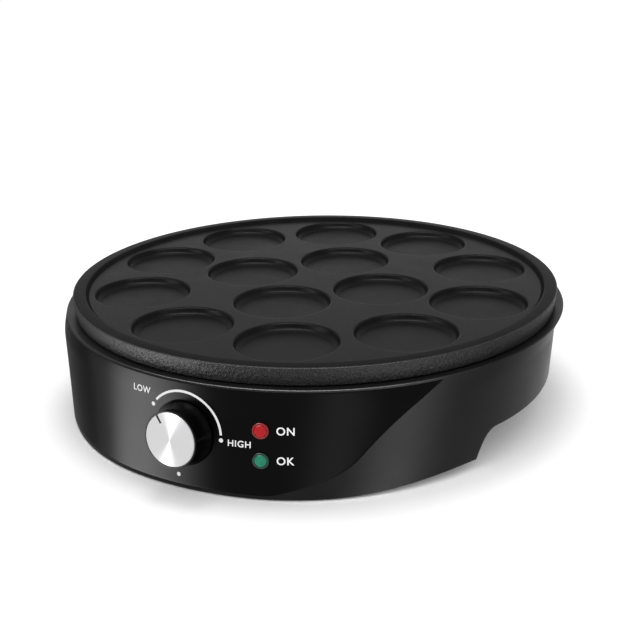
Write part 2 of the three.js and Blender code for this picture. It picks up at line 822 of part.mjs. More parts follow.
function frontPanel() {
  const reach = panelThick + overrun;
  const cuts = [onFrame(rod(bushRadius + fitGap, -reach, reach, roundSides), controlFrame)];
  for (const frame of lampFrames) {
    cuts.push(onFrame(rod(lensRadius + fitGap, -reach, reach, roundSides), frame));
  }
  return build([panelSheet(0, 0)], cuts);
}

// Bottom cover with vents, pillars for the long screws and legs for the feet
function baseCover() {
  const outline = [];
  for (let i = 0; i < coverSides; i += 1) {
    const angle = (fullTurn / coverSides) * i;
    const wall = Math.min(wallRadius(angle, coverBase), wallRadius(angle, coverTop));
    const point = around(wall - wallThick - fitGap, angle, 0);
    outline.push(new THREE.Vector2(point.x, point.y));
  }
  const parts = [prism(outline, coverBase, coverTop)];
  const cuts = [];
  for (const bank of [-1, 1]) {
    for (let i = 0; i < ventsPerBank; i += 1) {
      const x = (i - (ventsPerBank - 1) / 2) * ventPitch;
      const y = bank * ventBankOffset;
      cuts.push(box(
        at(x - ventWidth / 2, y - ventLength / 2, coverBase - overrun),
        at(x + ventWidth / 2, y + ventLength / 2, coverTop + overrun),
      ));
    }
  }
  for (const angle of bossAngles) {
    const centre = around(bossRing, angle, 0);
    parts.push(moved(rod(pillarRadius, coverBase, panFloor - seatGap), centre));
    cuts.push(moved(rod(longScrewRadius + seatGap, coverBase - overrun, panFloor + overrun), centre));
  }
  for (const angle of legAngles) {
    const centre = around(legRing, angle, 0);
    parts.push(moved(rod(legRadius, footHeight + seatGap, coverTop, roundSides), centre));
    const stemHole = rod(footStemRadius + seatGap, 0, footHeight + footStemLength + 2 * seatGap);
    cuts.push(moved(stemHole, centre));
  }
  for (const centre of coverScrewCentres()) {
    cuts.push(moved(rod(coverScrewRadius + seatGap, coverBase - overrun, coverTop + overrun), centre));
  }
  const bay = lensRadius + 2 * fitGap;
  const lampBay = box(at(-bay, -bay - coverThick, -bulbLength - overrun), at(bay, bay, overrun));
  cuts.push(onFrame(lampBay, lowerLampFrame));
  return build(parts, cuts);
}

function rubberFoot() {
  return turned([
    [0, 0],
    [footRadius - footHeight / 4, 0],
    [footRadius, footHeight / 4],
    [footRadius, footHeight],
    [footStemRadius, footHeight],
    [footStemRadius, footHeight + footStemLength],
    [0, footHeight + footStemLength],
  ], rodSides);
}

// Knob body about Z, open at the back, with a rib that fills the cap's notch
function knobBody() {
  const face = knobProjection - capThick;
  const shell = turned([
    [0, face],
    [capRadius + seatGap, face],
    [capRadius + seatGap, knobProjection - capBevel],
    [knobFaceRadius, knobProjection - capBevel],
    [knobNeckRadius, knobBaseHeight + knobWallGap + knobSkin],
    [knobBaseRadius, knobBaseHeight + knobWallGap],
    [knobBaseRadius, knobWallGap],
    [knobBaseRadius - knobSkin, knobWallGap],
    [knobFaceRadius - knobSkin, face - knobSkin],
    [knobHubRadius, face - knobSkin],
    [knobHubRadius, knobWallGap],
    [0, knobWallGap],
  ], knobSides);
  const socketTop = knobWallGap + spindleSocket + seatGap;
  const socket = rod(spindleRadius + seatGap, -overrun, socketTop, roundSides);
  const flat = box(
    at(spindleRadius - spindleFlat + seatGap, -spindleRadius * 2, knobWallGap),
    at(spindleRadius * 2, spindleRadius * 2, socketTop + overrun),
  );
  const rib = box(
    at(-pointerWidth / 2, capRadius - pointerLength, face - capThick / 2),
    at(pointerWidth / 2, (capRadius + seatGap + knobFaceRadius) / 2, knobProjection - capBevel),
  );
  const keyed = solid(socket).subtract(solid(flat));
  return geometryOf(solid(shell).add(solid(rib)).subtract(keyed));
}

function knobCap() {
  const low = knobProjection - capThick + seatGap;
  const high = knobProjection;
  const disc = turned([
    [0, low],
    [capRadius, low],
    [capRadius, high - capBevel],
    [capRadius - capBevel, high],
    [0, high],
  ], knobSides);
  const notch = box(
    at(-pointerWidth / 2 - seatGap, capRadius - pointerLength - seatGap, low - overrun),
    at(pointerWidth / 2 + seatGap, capRadius + overrun, high + overrun),
  );
  return build([disc], [notch]);
}

// Spindle with its face cam: the ramp rises away from the knob over the knob's whole travel
function spindle() {
  const shaft = rod(spindleRadius, camBack, knobWallGap + spindleSocket, roundSides);
  const flat = box(
    at(spindleRadius - spindleFlat, -spindleRadius * 2, knobWallGap - seatGap),
    at(spindleRadius * 2, spindleRadius * 2, knobWallGap + spindleSocket + overrun),
  );
  const travel = knobMaxAngle - knobOffAngle;
  const fall = fullTurn - travel - camDwellAngle;
  const loops = [];
  for (let i = 0; i < camSteps; i += 1) {
    const turn = (fullTurn / camSteps) * i;
    const share = turn <= travel ? turn / travel : Math.max(1 - (turn - travel) / fall, 0);
    const angle = rad(knobOffAngle + turn);
    const rim = (radius, z) => at(radius * Math.cos(angle), radius * Math.sin(angle), z);
    const back = camBack - camLift * share;
    loops.push([
      rim(spindleRadius / 2, camFront),
      rim(camRadius, camFront),
      rim(camRadius, back),
      rim(spindleRadius / 2, back),
    ]);
  }
  return build([shaft, skin(loops)], [flat]);
}

function spindleBush() {
  const flangeFront = webBack - seatGap;
  return turned([
    [spindleRadius + seatGap / 3, flangeFront - bushFlangeThick],
    [bushFlangeRadius, flangeFront - bushFlangeThick],
    [bushFlangeRadius, flangeFront],
    [bushRadius, flangeFront],
    [bushRadius, -seatGap],
    [spindleRadius + seatGap / 3, -seatGap],
    [spindleRadius + seatGap / 3, flangeFront - bushFlangeThick],
  ], roundSides);
}

// Bracket: a web screwed to the wall's bosses, a flange over the cam and a guide for the push pin
function thermostatBracket() {
  const flangeHigh = bracketHalfHeight + fitGap + bracketThick;
  const flangeLow = flangeHigh - bracketThick;
  const guideHalf = pushPinRadius + 2 * bracketThick;
  const guideRight = camTrack + guideHalf;
  const guideBack = guideFront - guideThick;
  const parts = [
    box(at(-bracketHalfWidth, -bracketHalfHeight, webBack), at(bracketHalfWidth, flangeHigh, webFront)),
    box(at(armRoot - stackLength, flangeLow, stackFront - stackDepth), at(guideRight, flangeHigh, webFront)),
    box(at(camTrack - guideHalf, -guideHalf, guideBack), at(guideRight, flangeHigh, guideFront)),
  ];
  const pinHole = rod(pushPinRadius + fitGap, guideBack - overrun, guideFront + overrun);
  const cuts = [
    rod(bushRadius + fitGap, webBack - overrun, webFront + overrun, roundSides),
    moved(pinHole, at(camTrack, 0, 0)),
  ];
  for (const side of [-1, 1]) {
    const hole = rod(bracketScrewRadius + seatGap, webBack - overrun, webFront + overrun);
    cuts.push(moved(hole, at(side * bracketScrewOffset, 0, 0)));
  }
  return build(parts, cuts);
}

function ceramicStack() {
  const high = bracketHalfHeight + fitGap - seatGap;
  const low = at(armRoot - stackLength, high - stackWidth, stackFront - stackDepth);
  return box(low, at(armRoot, high, stackFront));
}

// A leaf that runs from the stack, with a contact rivet on its inner (-1) or outer (1) side
function contactLeaf(front, thick, side) {
  const root = armRoot + seatGap;
  const leaf = box(at(root, -armWidth / 2, front - thick), at(root + armLength, armWidth / 2, front));
  const middle = front - thick / 2;
  const end = middle + side * (thick / 2 + contactHeight);
  const rivet = rod(contactRadius, Math.min(middle, end), Math.max(middle, end));
  return build([leaf, moved(rivet, at(root + armLength - contactRadius - armThick, 0, 0))]);
}

function terminalTab(front) {
  const right = armRoot - stackLength - seatGap;
  return box(at(right - tabLength, -tabWidth / 2, front - bladeThick), at(right, tabWidth / 2, front));
}

// Pilot lamp pieces about Z, from the wall's face
function lampBezel() {
  const low = seatGap;
  return turned([
    [lensRadius + seatGap, low],
    [bezelRadius, low],
    [bezelRadius, low + bezelHeight / 2],
    [bezelRadius - bezelHeight / 2, low + bezelHeight],
    [lensRadius + seatGap, low + bezelHeight],
    [lensRadius + seatGap, low],
  ], roundSides);
}

function lampLens() {
  const shoulder = seatGap + bezelHeight;
  const bore = lensRadius - lensSkin;
  return turned([
    [bore, -lensStem],
    [lensRadius, -lensStem],
    [lensRadius, shoulder],
    [lensRadius * Math.SQRT1_2, shoulder + lensDome * Math.SQRT1_2],
    [0, shoulder + lensDome],
    [0, shoulder - lensSkin],
    [bore, shoulder - lensSkin],
    [bore, -lensStem],
  ], roundSides);
}

function lampBulb() {
  const high = seatGap + bezelHeight - lensSkin - seatGap;
  return turned([
    [0, high - bulbLength],
    [bulbRadius, high - bulbLength],
    [bulbRadius, high - bulbRadius / 2],
    [bulbRadius / 2, high],
    [0, high],
  ], bulbSides);
}

function cordGland() {
  const inner = -wallThick - 2 * seatGap;
  return turned([
    [glandBore, inner - glandFlangeThick],
    [glandFlangeRadius - glandFlangeThick / 2, inner - glandFlangeThick],
    [glandFlangeRadius - glandFlangeThick / 2, inner],
    [glandRadius, inner],
    [glandRadius, seatGap],
    [glandFlangeRadius, seatGap],
    [glandFlangeRadius, seatGap + glandFlangeThick],
    [glandNoseRadius, seatGap + glandFlangeThick + glandFlangeThick / 3],
    [glandNoseRadius, seatGap + glandFlangeThick + glandNose],
    [glandBore, seatGap + glandFlangeThick + glandNose],
    [glandBore, inner - glandFlangeThick],
  ], roundSides);
}

function terminalBlock() {
  const centre = around(blockRing, halfTurn, 0);
  const body = box(
    at(-blockLength / 2, -blockWidth / 2, blockBase),
    at(blockLength / 2, blockWidth / 2, blockBase + blockHeight),
  );
  const cuts = Array.from({ length: blockPoles }, (_, i) => {
    const bore = rod(blockBore, -blockWidth, blockWidth, smallSides);
    bore.rotateX(Math.PI / 2);
    return moved(bore, at((i - (blockPoles - 1) / 2) * blockPitch, 0, blockBoreHeight));
  });
  return moved(build([body], cuts), centre);
}

// Thermal fuse and its strap under the reflector
function fuseCentre() {
  return around(fuseRing, fuseAngle, panFloor - seatGap - fuseRadius);
}

function strapScrewCentre() {
  const centre = fuseCentre();
  return at(centre.x, centre.y - fuseRadius - seatGap - strapThick - strapEar / 2, 0);
}

function thermalFuse() {
  const body = turned([
    [0, -fuseLength / 2],
    [fuseRadius * fuseEndShare, -fuseLength / 2],
    [fuseRadius, -fuseLength / 2 + fuseRadius / 2],
    [fuseRadius, fuseLength / 2 - fuseRadius / 2],
    [fuseRadius * fuseEndShare, fuseLength / 2],
    [0, fuseLength / 2],
  ], rodSides);
  body.rotateY(Math.PI / 2);
  return moved(body, fuseCentre());
}

function fuseStrap() {
  const centre = fuseCentre();
  const reach = fuseRadius + seatGap;
  const top = fuseRadius;
  const outer = box(
    at(-strapWidth / 2, -reach - strapThick - strapEar, -reach - strapThick),
    at(strapWidth / 2, reach + strapThick, top),
  );
  const hollow = box(at(-strapWidth, -reach, -reach), at(strapWidth, reach, top + overrun));
  const under = box(
    at(-strapWidth, -reach - strapThick - strapEar - overrun, -reach - strapThick - overrun),
    at(strapWidth, -reach - strapThick, top - strapThick),
  );
  const screwHole = rod(clampScrewRadius + seatGap, -reach, top + overrun);
  const hole = moved(screwHole, at(0, -reach - strapThick - strapEar / 2, 0));
  return moved(build([outer], [hollow, under, hole]), centre);
}

// Straight flat strip from the stack, bent by the heat that reaches it
function bimetalStrip() {
  const root = armRoot + seatGap;
  return box(
    at(root, -armWidth / 2, bimetalFront - bladeThick),
    at(root + armLength, armWidth / 2, bimetalFront),
  );
}

// Ceramic bush round an element leg where it passes the reflector
function pinBush() {
  const outer = bushBore + bushWall;
  const flangeTop = panFloor - seatGap;
  return turned([
    [bushBore, flangeTop - bushWall],
    [outer + bushWall, flangeTop - bushWall],
    [outer + bushWall, flangeTop],
    [outer, flangeTop],
    [outer, flangeTop + bushRise],
    [bushBore, flangeTop + bushRise],
    [bushBore, flangeTop - bushWall],
  ], roundSides);
}

function earthTag() {
  const tag = box(at(-tabWidth / 2, -tabLength / 2, tagLow), at(tabWidth / 2, tabLength, tagHigh));
  const hole = rod(clampScrewRadius + seatGap, tagLow - overrun, tagHigh + overrun);
  return moved(build([tag], [hole]), around(earthRing, halfTurn, 0));
}

// Insulated leads, from end to end, clear of the screws and posts between them
function leadRoutes() {
  const blockFace = blockRing - blockWidth / 2 - seatGap;
  const block = (i) => at(i * blockPitch, blockFace, blockBoreHeight);
  const low = coverTop + leadClear;
  const pinEnd = pinTop - pinLength - seatGap;
  const pin = (side) => around(elementRing, side * elementEndAngle, pinEnd);
  const [lowDrop, highDrop] = pinDropShares.map((share) => share * (pinEnd - low));
  const below = (point, by) => at(point.x, point.y, point.z - by);
  const beside = (point, by) => at(point.x - by, point.y, point.z);
  const fuse = fuseCentre();
  const fuseEnd = (side) => at(fuse.x + side * (fuseLength / 2 + seatGap), fuse.y, fuse.z);
  const tabEnd = armRoot - stackLength - tabLength - 2 * seatGap;
  const tab = (front) => at(tabEnd, 0, front - bladeThick / 2).applyMatrix4(controlFrame);
  const fuseRings = [bossRing - 2 * leadClear, bossRing + pillarRadius + 2 * leadClear];
  const [fuseNear, fuseFar, fuseFront] = fuseLeadAngles;
  const [liveRear, liveSide, liveMiddle, liveFront] = liveLeadAngles;
  const tagEnd = earthRing + tabLength;
  const tagHeight = tagHigh - leadRadius;
  return {
    neutral_lead: [
      block(-1),
      at(-blockPitch - leadClear, blockFace - leadStraight, blockBoreHeight),
      below(pin(-1), lowDrop),
      below(pin(-1), highDrop),
      pin(-1),
    ],
    element_lead: [
      pin(1),
      below(pin(1), highDrop),
      below(pin(1), lowDrop).lerp(fuseEnd(1), fuseBendShare),
      beside(fuseEnd(1), -leadStraight),
      fuseEnd(1),
    ],
    fuse_lead: [
      fuseEnd(-1),
      beside(fuseEnd(-1), leadStraight * fuseTurnShare),
      around(fuseRings[0], fuseNear, low + leadClear),
      around(fuseRings[1], fuseFar, low + leadClear),
      around(fuseRings[1], fuseFront, low + leadClear),
      beside(tab(armFront), leadStraight),
      tab(armFront),
    ],
    live_lead: [
      block(1),
      at(blockPitch + leadClear, blockFace - leadStraight, blockBoreHeight),
      around(elementRing - 2 * leadStraight, liveRear, low),
      around(elementRing / 2, liveSide, low),
      around(elementRing / 2, liveMiddle, low),
      around(bossRing, liveFront, low),
      beside(tab(bladeFront), leadStraight * bladeTurnShare),
      tab(bladeFront),
    ],
    earth_lead: [
      block(0),
      at(0, blockFace - leadClear, blockBoreHeight),
      at(0, tagEnd + 2 * leadClear, (blockBoreHeight + tagHeight) / 2),
      at(0, tagEnd + leadClear, tagHeight),
      at(0, tagEnd + seatGap, tagHeight),
    ],
  };
}

place('cooking_plate', cookingPlate(), castPlate);
place('heating_element', heatingElement(), steel);
place('element_clamp', elementClamp(), steel);
place('heat_reflector', heatReflector(), spunAluminium);
place('housing_shell', housingShell(), satinPlastic);
place('front_panel', frontPanel(), glossPlastic);
place('base_cover', baseCover(), satinPlastic);

for (const [i, side] of [-1, 1].entries()) {
  const centre = around(elementRing, side * elementEndAngle, 0);
  place(`cold_pin_${i + 1}`, moved(rod(pinRadius, pinTop - pinLength, pinTop), centre), steel);
  place(`pin_bush_${i + 1}`, moved(pinBush(), centre), ceramic);
}
for (const [i, angle] of clampAngles.entries()) {
  const length = plateBase - clampBase - seatGap;
  const shape = screw(smallHeadRadius, smallHeadHeight, clampScrewRadius, length);
  const mesh = place(`clamp_screw_${i + 1}`, shape, steel);
  mesh.position.copy(around(clampBossRing, angle, clampBase - seatGap));
}
for (const [i, angle] of bossAngles.entries()) {
  const length = bossBase + longScrewGrip - coverBase;
  const shape = screw(longHeadRadius, longHeadHeight, longScrewRadius, length);
  const mesh = place(`long_screw_${i + 1}`, shape, steel);
  mesh.position.copy(around(bossRing, angle, coverBase - seatGap));
}
for (const [i, centre] of coverScrewCentres().entries()) {
  const length = coverThick + coverBossHeight / 2;
  const shape = screw(smallHeadRadius, smallHeadHeight, coverScrewRadius, length);
  const mesh = place(`cover_screw_${i + 1}`, shape, steel);
  mesh.position.set(centre.x, centre.y, coverBase - seatGap);
}
for (const [i, angle] of legAngles.entries()) {
  place(`rubber_foot_${i + 1}`, moved(rubberFoot(), around(legRing, angle, 0)), rubber);
}

// Knob, cap and spindle turn together
const controls = group(controlFrame);
const turning = new THREE.Group();
turning.rotation.z = rad(-pointerAngle);
controls.add(turning);
place('knob_body', knobBody(), glossPlastic, turning);
place('knob_cap', knobCap(), spunAluminium, turning);
place('spindle', spindle(), steel, turning);

place('spindle_bush', spindleBush(), brass, controls);
place('thermostat_bracket', thermostatBracket(), steel, controls);
for (const [i, side] of [-1, 1].entries()) {
  const shape = screw(bracketHeadRadius, bracketHeadHeight, bracketScrewRadius, bracketDepth / 2);
  const mesh = place(`bracket_screw_${i + 1}`, shape, steel, controls);
  mesh.position.set(side * bracketScrewOffset, 0, webBack - seatGap);
}
place('ceramic_stack', ceramicStack(), ceramic, controls);
place('push_pin', moved(rod(pushPinRadius, pinBack, pinFront), at(camTrack, 0, 0)), ceramic, controls);
place('contact_arm', contactLeaf(armFront, armThick, -1), brass, controls);
place('fixed_blade', contactLeaf(bladeFront, bladeThick, 1), brass, controls);
place('bimetal_strip', bimetalStrip(), steel, controls);
place('arm_tab', terminalTab(armFront), brass, controls);
place('blade_tab', terminalTab(bladeFront), brass, controls);

for (const [i, [name, lens]] of [['power', redLens], ['ready', greenLens]].entries()) {
  const holder = group(lampFrames[i]);
  place(`${name}_lamp_bezel`, lampBezel(), lens, holder);
  place(`${name}_lamp_lens`, lampLens(), lens, holder);
  place(`${name}_lamp_bulb`, lampBulb(), glass, holder);
}

place('cord_gland', cordGland(), rubber, group(glandFrame));
place('terminal_block', terminalBlock(), ceramic);
place('thermal_fuse', thermalFuse(), ceramic);
place('fuse_strap', fuseStrap(), steel);
const fuseScrewLength = strapThick + sheetScrewReach;
const fuseScrewShape = screw(smallHeadRadius, smallHeadHeight, clampScrewRadius, fuseScrewLength);
const fuseScrew = place('fuse_screw', fuseScrewShape, steel);
fuseScrew.position.copy(strapScrewCentre()).setZ(panFloor - seatGap - strapThick - seatGap);
place('earth_tag', earthTag(), brass);
const earthScrewLength = tagThick + sheetScrewReach;
const earthScrewShape = screw(earthHeadRadius, smallHeadHeight, clampScrewRadius, earthScrewLength);
const earthScrew = place('earth_screw', earthScrewShape, steel);
earthScrew.position.copy(around(earthRing, halfTurn, tagLow - seatGap));
for (const [name, route] of Object.entries(leadRoutes())) {
  place(name, tube(route, leadRadius, leadSides, leadSteps), insulation);
}

// The origin is the middle of the footprint, on the table
const bounds = new THREE.Box3().setFromObject(maker);
maker.position.set(-(bounds.min.x + bounds.max.x) / 2, -(bounds.min.y + bounds.max.y) / 2, -bounds.min.z);

export default maker;
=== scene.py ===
"""Looks of a small pancake maker for the countertop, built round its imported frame.

Metres, +Z up, the front towards -Y. A turn is an angle round the plate's axis, from the front towards +X.
"""

import json
import math
from typing import NamedTuple

import bmesh
import bpy
import numpy as np
from bpy.props import FloatProperty, FloatVectorProperty, PointerProperty, StringProperty
from mathutils import Matrix, Vector


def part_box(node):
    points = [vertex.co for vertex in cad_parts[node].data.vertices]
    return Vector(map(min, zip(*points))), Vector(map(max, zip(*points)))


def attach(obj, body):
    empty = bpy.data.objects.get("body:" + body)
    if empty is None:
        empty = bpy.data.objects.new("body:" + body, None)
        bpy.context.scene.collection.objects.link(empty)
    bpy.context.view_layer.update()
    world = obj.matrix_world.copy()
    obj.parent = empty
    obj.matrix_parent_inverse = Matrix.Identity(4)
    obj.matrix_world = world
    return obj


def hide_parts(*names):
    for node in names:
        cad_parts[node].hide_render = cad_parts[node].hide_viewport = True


bl_info = {
    "name": "Small pancake maker",
    "version": (1, 0, 0),
    "blender": (4, 5, 0),
    "location": "View3D > Sidebar > Maker",
    "description": "Fine surfaces, finishes and stage for a small pancake maker",
    "category": "Object",
}

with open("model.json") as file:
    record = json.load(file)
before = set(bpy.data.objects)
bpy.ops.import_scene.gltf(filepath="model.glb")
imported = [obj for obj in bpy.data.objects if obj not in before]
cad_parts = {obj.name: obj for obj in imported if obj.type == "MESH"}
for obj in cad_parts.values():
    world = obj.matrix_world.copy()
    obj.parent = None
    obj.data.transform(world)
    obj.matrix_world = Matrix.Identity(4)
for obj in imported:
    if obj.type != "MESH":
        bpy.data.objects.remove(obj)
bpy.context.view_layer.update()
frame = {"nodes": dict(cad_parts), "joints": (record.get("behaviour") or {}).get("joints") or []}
PLATE_LOW, PLATE_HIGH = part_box("cooking_plate")
AXIS = (PLATE_LOW + PLATE_HIGH) / 2
KNOB_JOINT = next(joint for joint in frame["joints"] if joint["name"] == "knob_turn")

MM = 0.001
TURN = 2 * math.pi
WELD = 1e-6
ROOT = "maker"


def length(name, millimetres, text):
    """A length setting, given in millimetres and kept in metres."""
    return FloatProperty(name=name, description=text, default=millimetres * MM, unit="LENGTH", precision=5)


def angle(name, degrees, text):
    """An angle setting, given in degrees and kept in radians."""
    return FloatProperty(name=name, description=text, default=math.radians(degrees), unit="ROTATION")


def colour(name, value, text):
    """A colour setting, as linear values."""
    return FloatVectorProperty(name=name, description=text, default=value, subtype="COLOR", min=0, max=1)


def level(name, value, text):
    """A plain number."""
    return FloatProperty(name=name, description=text, default=value, subtype="FACTOR")


def label(name, value, text):
    """A word."""
    return StringProperty(name=name, description=text, default=value)


class PlateSizes(bpy.types.PropertyGroup):
    """The cast plate, its rim and its wells."""

    radius: length("Radius", PLATE_HIGH.x / MM, "Rim of the plate from its axis")
    top: length("Top", PLATE_HIGH.z / MM, "Top of the rim above the table")
    thick: length("Thickness", 9.5, "Height of the rim's wall")
    draft: length("Draft", 1.6, "How far the rim's wall leans in at its foot")
    rim: length("Rim band", 8, "Width of the band round the floor")
    crown: length("Rim crown", 0.35, "How far the band falls from its inner to its outer edge")
    fillet: length("Rim slope", 2, "Width of the slope between the band and the floor")
    drop: length("Floor drop", 2.4, "Depth of the floor below the rim")
    edge: length("Rim edge", 0.8, "Rounding of the rim's edges")
    drip: length("Drip edge", 1.1, "How far the wall's foot hangs below the underside")
    drip_width: length("Drip width", 2.6, "Width of that foot")
    outer_ring: length("Outer ring", 107.3, "Circle through the outer wells' centres")
    inner_ring: length("Inner ring", 44.7, "Circle through the inner wells' centres")
    well: length("Well", 29, "Radius of a well at the floor")
    depth: length("Well depth", 4.5, "Depth of a well below the floor")
    well_draft: length("Well draft", 1.2, "How far a well's wall leans in at its foot")
    well_round: length("Well foot", 2.4, "Rounding of a well's foot")
    well_edge: length("Well edge", 1.2, "Rounding of a well's edge")
    rib: length("Rib", 2.2, "Width of the ribs beside the element")
    rib_height: length("Rib height", 6, "Height of those ribs")
    element: length("Element", 4.3, "Half of the groove between them")
    boss: length("Boss", 5, "Radius of the bosses for the long screws")
    boss_ring: length("Boss ring", 95, "Circle through those bosses")
    boss_low: length("Boss end", 47.1, "Height of their ends above the table")
    clamp_boss: length("Clamp boss", 4, "Radius of the bosses for the clamp's screws")
    clamp_ring: length("Clamp ring", 88, "Circle through those bosses")
    clamp_low: length("Clamp boss end", 52.7, "Height of their ends above the table")


class WallSizes(bpy.types.PropertyGroup):
    """The housing's wall, as in the frame's source."""

    lip: length("Lip", 59.9, "Height of the lip above the table")
    lip_radius: length("Lip radius", 153.8, "Lip from the plate's axis")
    straight: length("Straight part", 50, "Height where the wall starts to run out to the lip")
    mean: length("Mean radius", 151.95, "Mean radius of the wall's straight part")
    forward: length("Forward", 4.18, "First wave of the wall round the axis")
    oval: length("Oval", 1.055, "Second wave")
    shield: length("Shield", -1.682, "Third wave")
    front_flare: length("Front flare", 5.3, "How far the foot stands out at the front")
    rear_flare: length("Rear flare", 3, "How far it stands out at the rear")
    grip_tuck: length("Grip tuck", 3, "How far it tucks in at the hand grips")
    flare_start: angle("Flare start", 12, "Turn at which the flare starts to fade")
    flare_end: angle("Flare end", 66, "Turn at which it has become the tuck")
    grip: length("Grip height", 20.8, "Raised edge at the hand grips above the table")
    apron: length("Apron", 0.6, "Apron's edge above the table at its middle")
    apron_rise: length("Apron rise", 4.2, "How much more it lifts towards its ends")
    rise_start: angle("Rise start", 28, "Turn at which that lift starts")
    front_apron: angle("Front apron", 60.7, "Turn of the front apron's ends")
    rear_apron: angle("Rear apron", 52, "Turn of the rear apron's ends from the rear")
    corner: angle("Corner", 5.8, "Turn over which the edge rises past an apron's end")
    corner_power: level("Corner power", 2.5, "How hard that rise bends")
    thick: length("Thickness", 3.6, "Wall's thickness")
    shoulder: length("Shoulder", 146.4, "Inner edge of the shoulder under the plate")
    shoulder_dip: length("Shoulder dip", 0.8, "Fall of the shoulder")
    shoulder_cut: length("Shoulder cut", 0.5, "Cut edge of the shoulder")
    ledge: length("Ledge", 56, "Height of the ledge that carries the reflector")
    ledge_inner: length("Ledge edge", 140.4, "Inner edge of the ledge")
    ledge_thick: length("Ledge thickness", 2.6, "Thickness of the ledge")
    rib_low: length("Seat rib", 22.8, "Underside of the rib that the cover seats against")
    rib_height: length("Seat rib height", 3, "Height of that rib")
    rib: length("Seat rib depth", 2.2, "How far it stands in")
    edge: length("Edge", 0.5, "Rounding of the housing's edges")
    softness: level("Softness", 0.07, "Easing between the straight part and the flare, as a share of it")


class PanelSizes(bpy.types.PropertyGroup):
    """The gloss front panel that is let into the wall."""

    thick: length("Thickness", 1.5, "Panel's thickness")
    foot: length("Foot band", 2.2, "Satin band below the panel")
    top: length("Top", 58.5, "Panel's upper edge above the table")
    left: angle("Left edge", -58, "Turn of the upright left edge")
    right: length("Right edge", 77.2, "Arc from the front to the slanted edge at the table")
    slant: level("Slant", 0.765, "How much further round the edge lies, as a share of the height")
    sweep: length("Sweep", 17.9, "How much more it sweeps back towards the lip")
    sweep_power: level("Sweep power", 3, "How hard that sweep bends")
    toe: length("Toe", 42, "How far the slanted edge sweeps back at its toe")
    toe_height: length("Toe height", 24, "Height over which it does so")
    toe_power: level("Toe power", 2.54, "How hard the toe bends")
    gap: length("Gap", 0.09, "Gap round the panel")
    edge: length("Edge", 0.25, "Rounding of the panel's edge")
    bed: length("Bed", 0.3, "Space behind the panel")


class KnobSizes(bpy.types.PropertyGroup):
    """The knob, along and round its own axis."""

    base: length("Base radius", 17.8, "Radius of the knob's skirt")
    base_height: length("Skirt", 2.2, "Height of the skirt")
    neck: length("Neck", 16.2, "Radius above the skirt")
    face: length("Face", 15.6, "Radius at the face")
    height: length("Height", 13, "Face from the wall")
    skin: length("Skin", 2, "Wall of the hollow body")
    hub: length("Hub", 5.5, "Radius of the hub round the spindle")
    bore: length("Bore", 3.3, "Radius of the spindle's socket")
    socket: length("Socket", 8.9, "End of the socket from the wall")
    gap: length("Gap", 0.6, "Gap between knob and wall")
    cap: length("Cap", 14.6, "Radius of the metal cap")
    cap_gap: length("Cap gap", 0.12, "Gap round the cap and in its notch")
    cap_thick: length("Cap thickness", 1, "Cap's thickness with its seat")
    cap_lift: length("Cap lift", 0.3, "Cap's underside above its seat")
    bevel: length("Cap bevel", 0.45, "Cut edge of the cap")
    notch: length("Notch", 4.8, "Length of the pointer notch")
    notch_width: length("Notch width", 1.3, "Width of the pointer notch")
    pointer: angle("Pointer", -33, "Pointer's turn from straight up, clockwise, at rest")


class LampSizes(bpy.types.PropertyGroup):
    """The two pilot lamps."""

    turn: angle("Turn", 15.8, "Turn of the lamps from the front")
    upper: length("Upper lamp", 38.4, "Height of the upper lamp")
    lower: length("Lower lamp", 22.3, "Height of the lower lamp")
    collar: length("Collar", 4.4, "Radius of the collar")
    collar_height: length("Collar height", 1.2, "Height of the collar above the wall")
    lens: length("Lens", 3.3, "Radius of the lens")
    dome: length("Dome", 1.1, "Rise of the lens's dome")
    stem: length("Stem", 9, "Length of the lens behind the wall")
    skin: length("Skin", 0.8, "Wall of the lens")
    lift: length("Lift", 0.06, "Foot of the collar above the wall")


class MarkSizes(bpy.types.PropertyGroup):
    """Printed marks, placed from the knob's axis: x to the right, y up."""

    thick: length("Print", 0.05, "Height of the print above the panel")
    scale_radius: length("Scale", 22.4, "Radius of the scale's arc")
    off_radius: length("Off dot", 23.8, "Off dot from the knob's axis")
    shift: length("Shift", -0.4, "Middle of the scale from the knob's axis, to the right")
    scale_width: length("Scale width", 1.25, "Width of the arc")
    scale_start: angle("Scale start", -48.6, "Start of the arc, clockwise from straight up")
    scale_end: angle("Scale end", 85, "End of the arc")
    dot: length("Dot", 1.15, "Radius of a dot")
    off_turn: angle("Off", 186, "Place of the off dot")
    low_turn: angle("Low", -57.5, "Place of the lowest setting's dot")
    high_turn: angle("High", 92, "Place of the highest setting's dot")
    low_word: label("Low word", "LOW", "Word at the lowest setting")
    high_word: label("High word", "HIGH", "Word at the highest setting")
    upper_word: label("Upper word", "ON", "Word at the upper lamp")
    lower_word: label("Lower word", "OK", "Word at the lower lamp")
    dial_height: length("Dial words", 3.4, "Height of the dial's capitals")
    lamp_height: length("Lamp words", 4.1, "Height of the lamps' capitals")


class FootSizes(bpy.types.PropertyGroup):
    """The rubber feet."""

    radius: length("Radius", 8.5, "Radius of a foot")
    height: length("Height", 3, "Height of its disc")
    stem: length("Stem", 3, "Radius of its stem")
    stem_height: length("Stem end", 9, "End of the stem above the table")


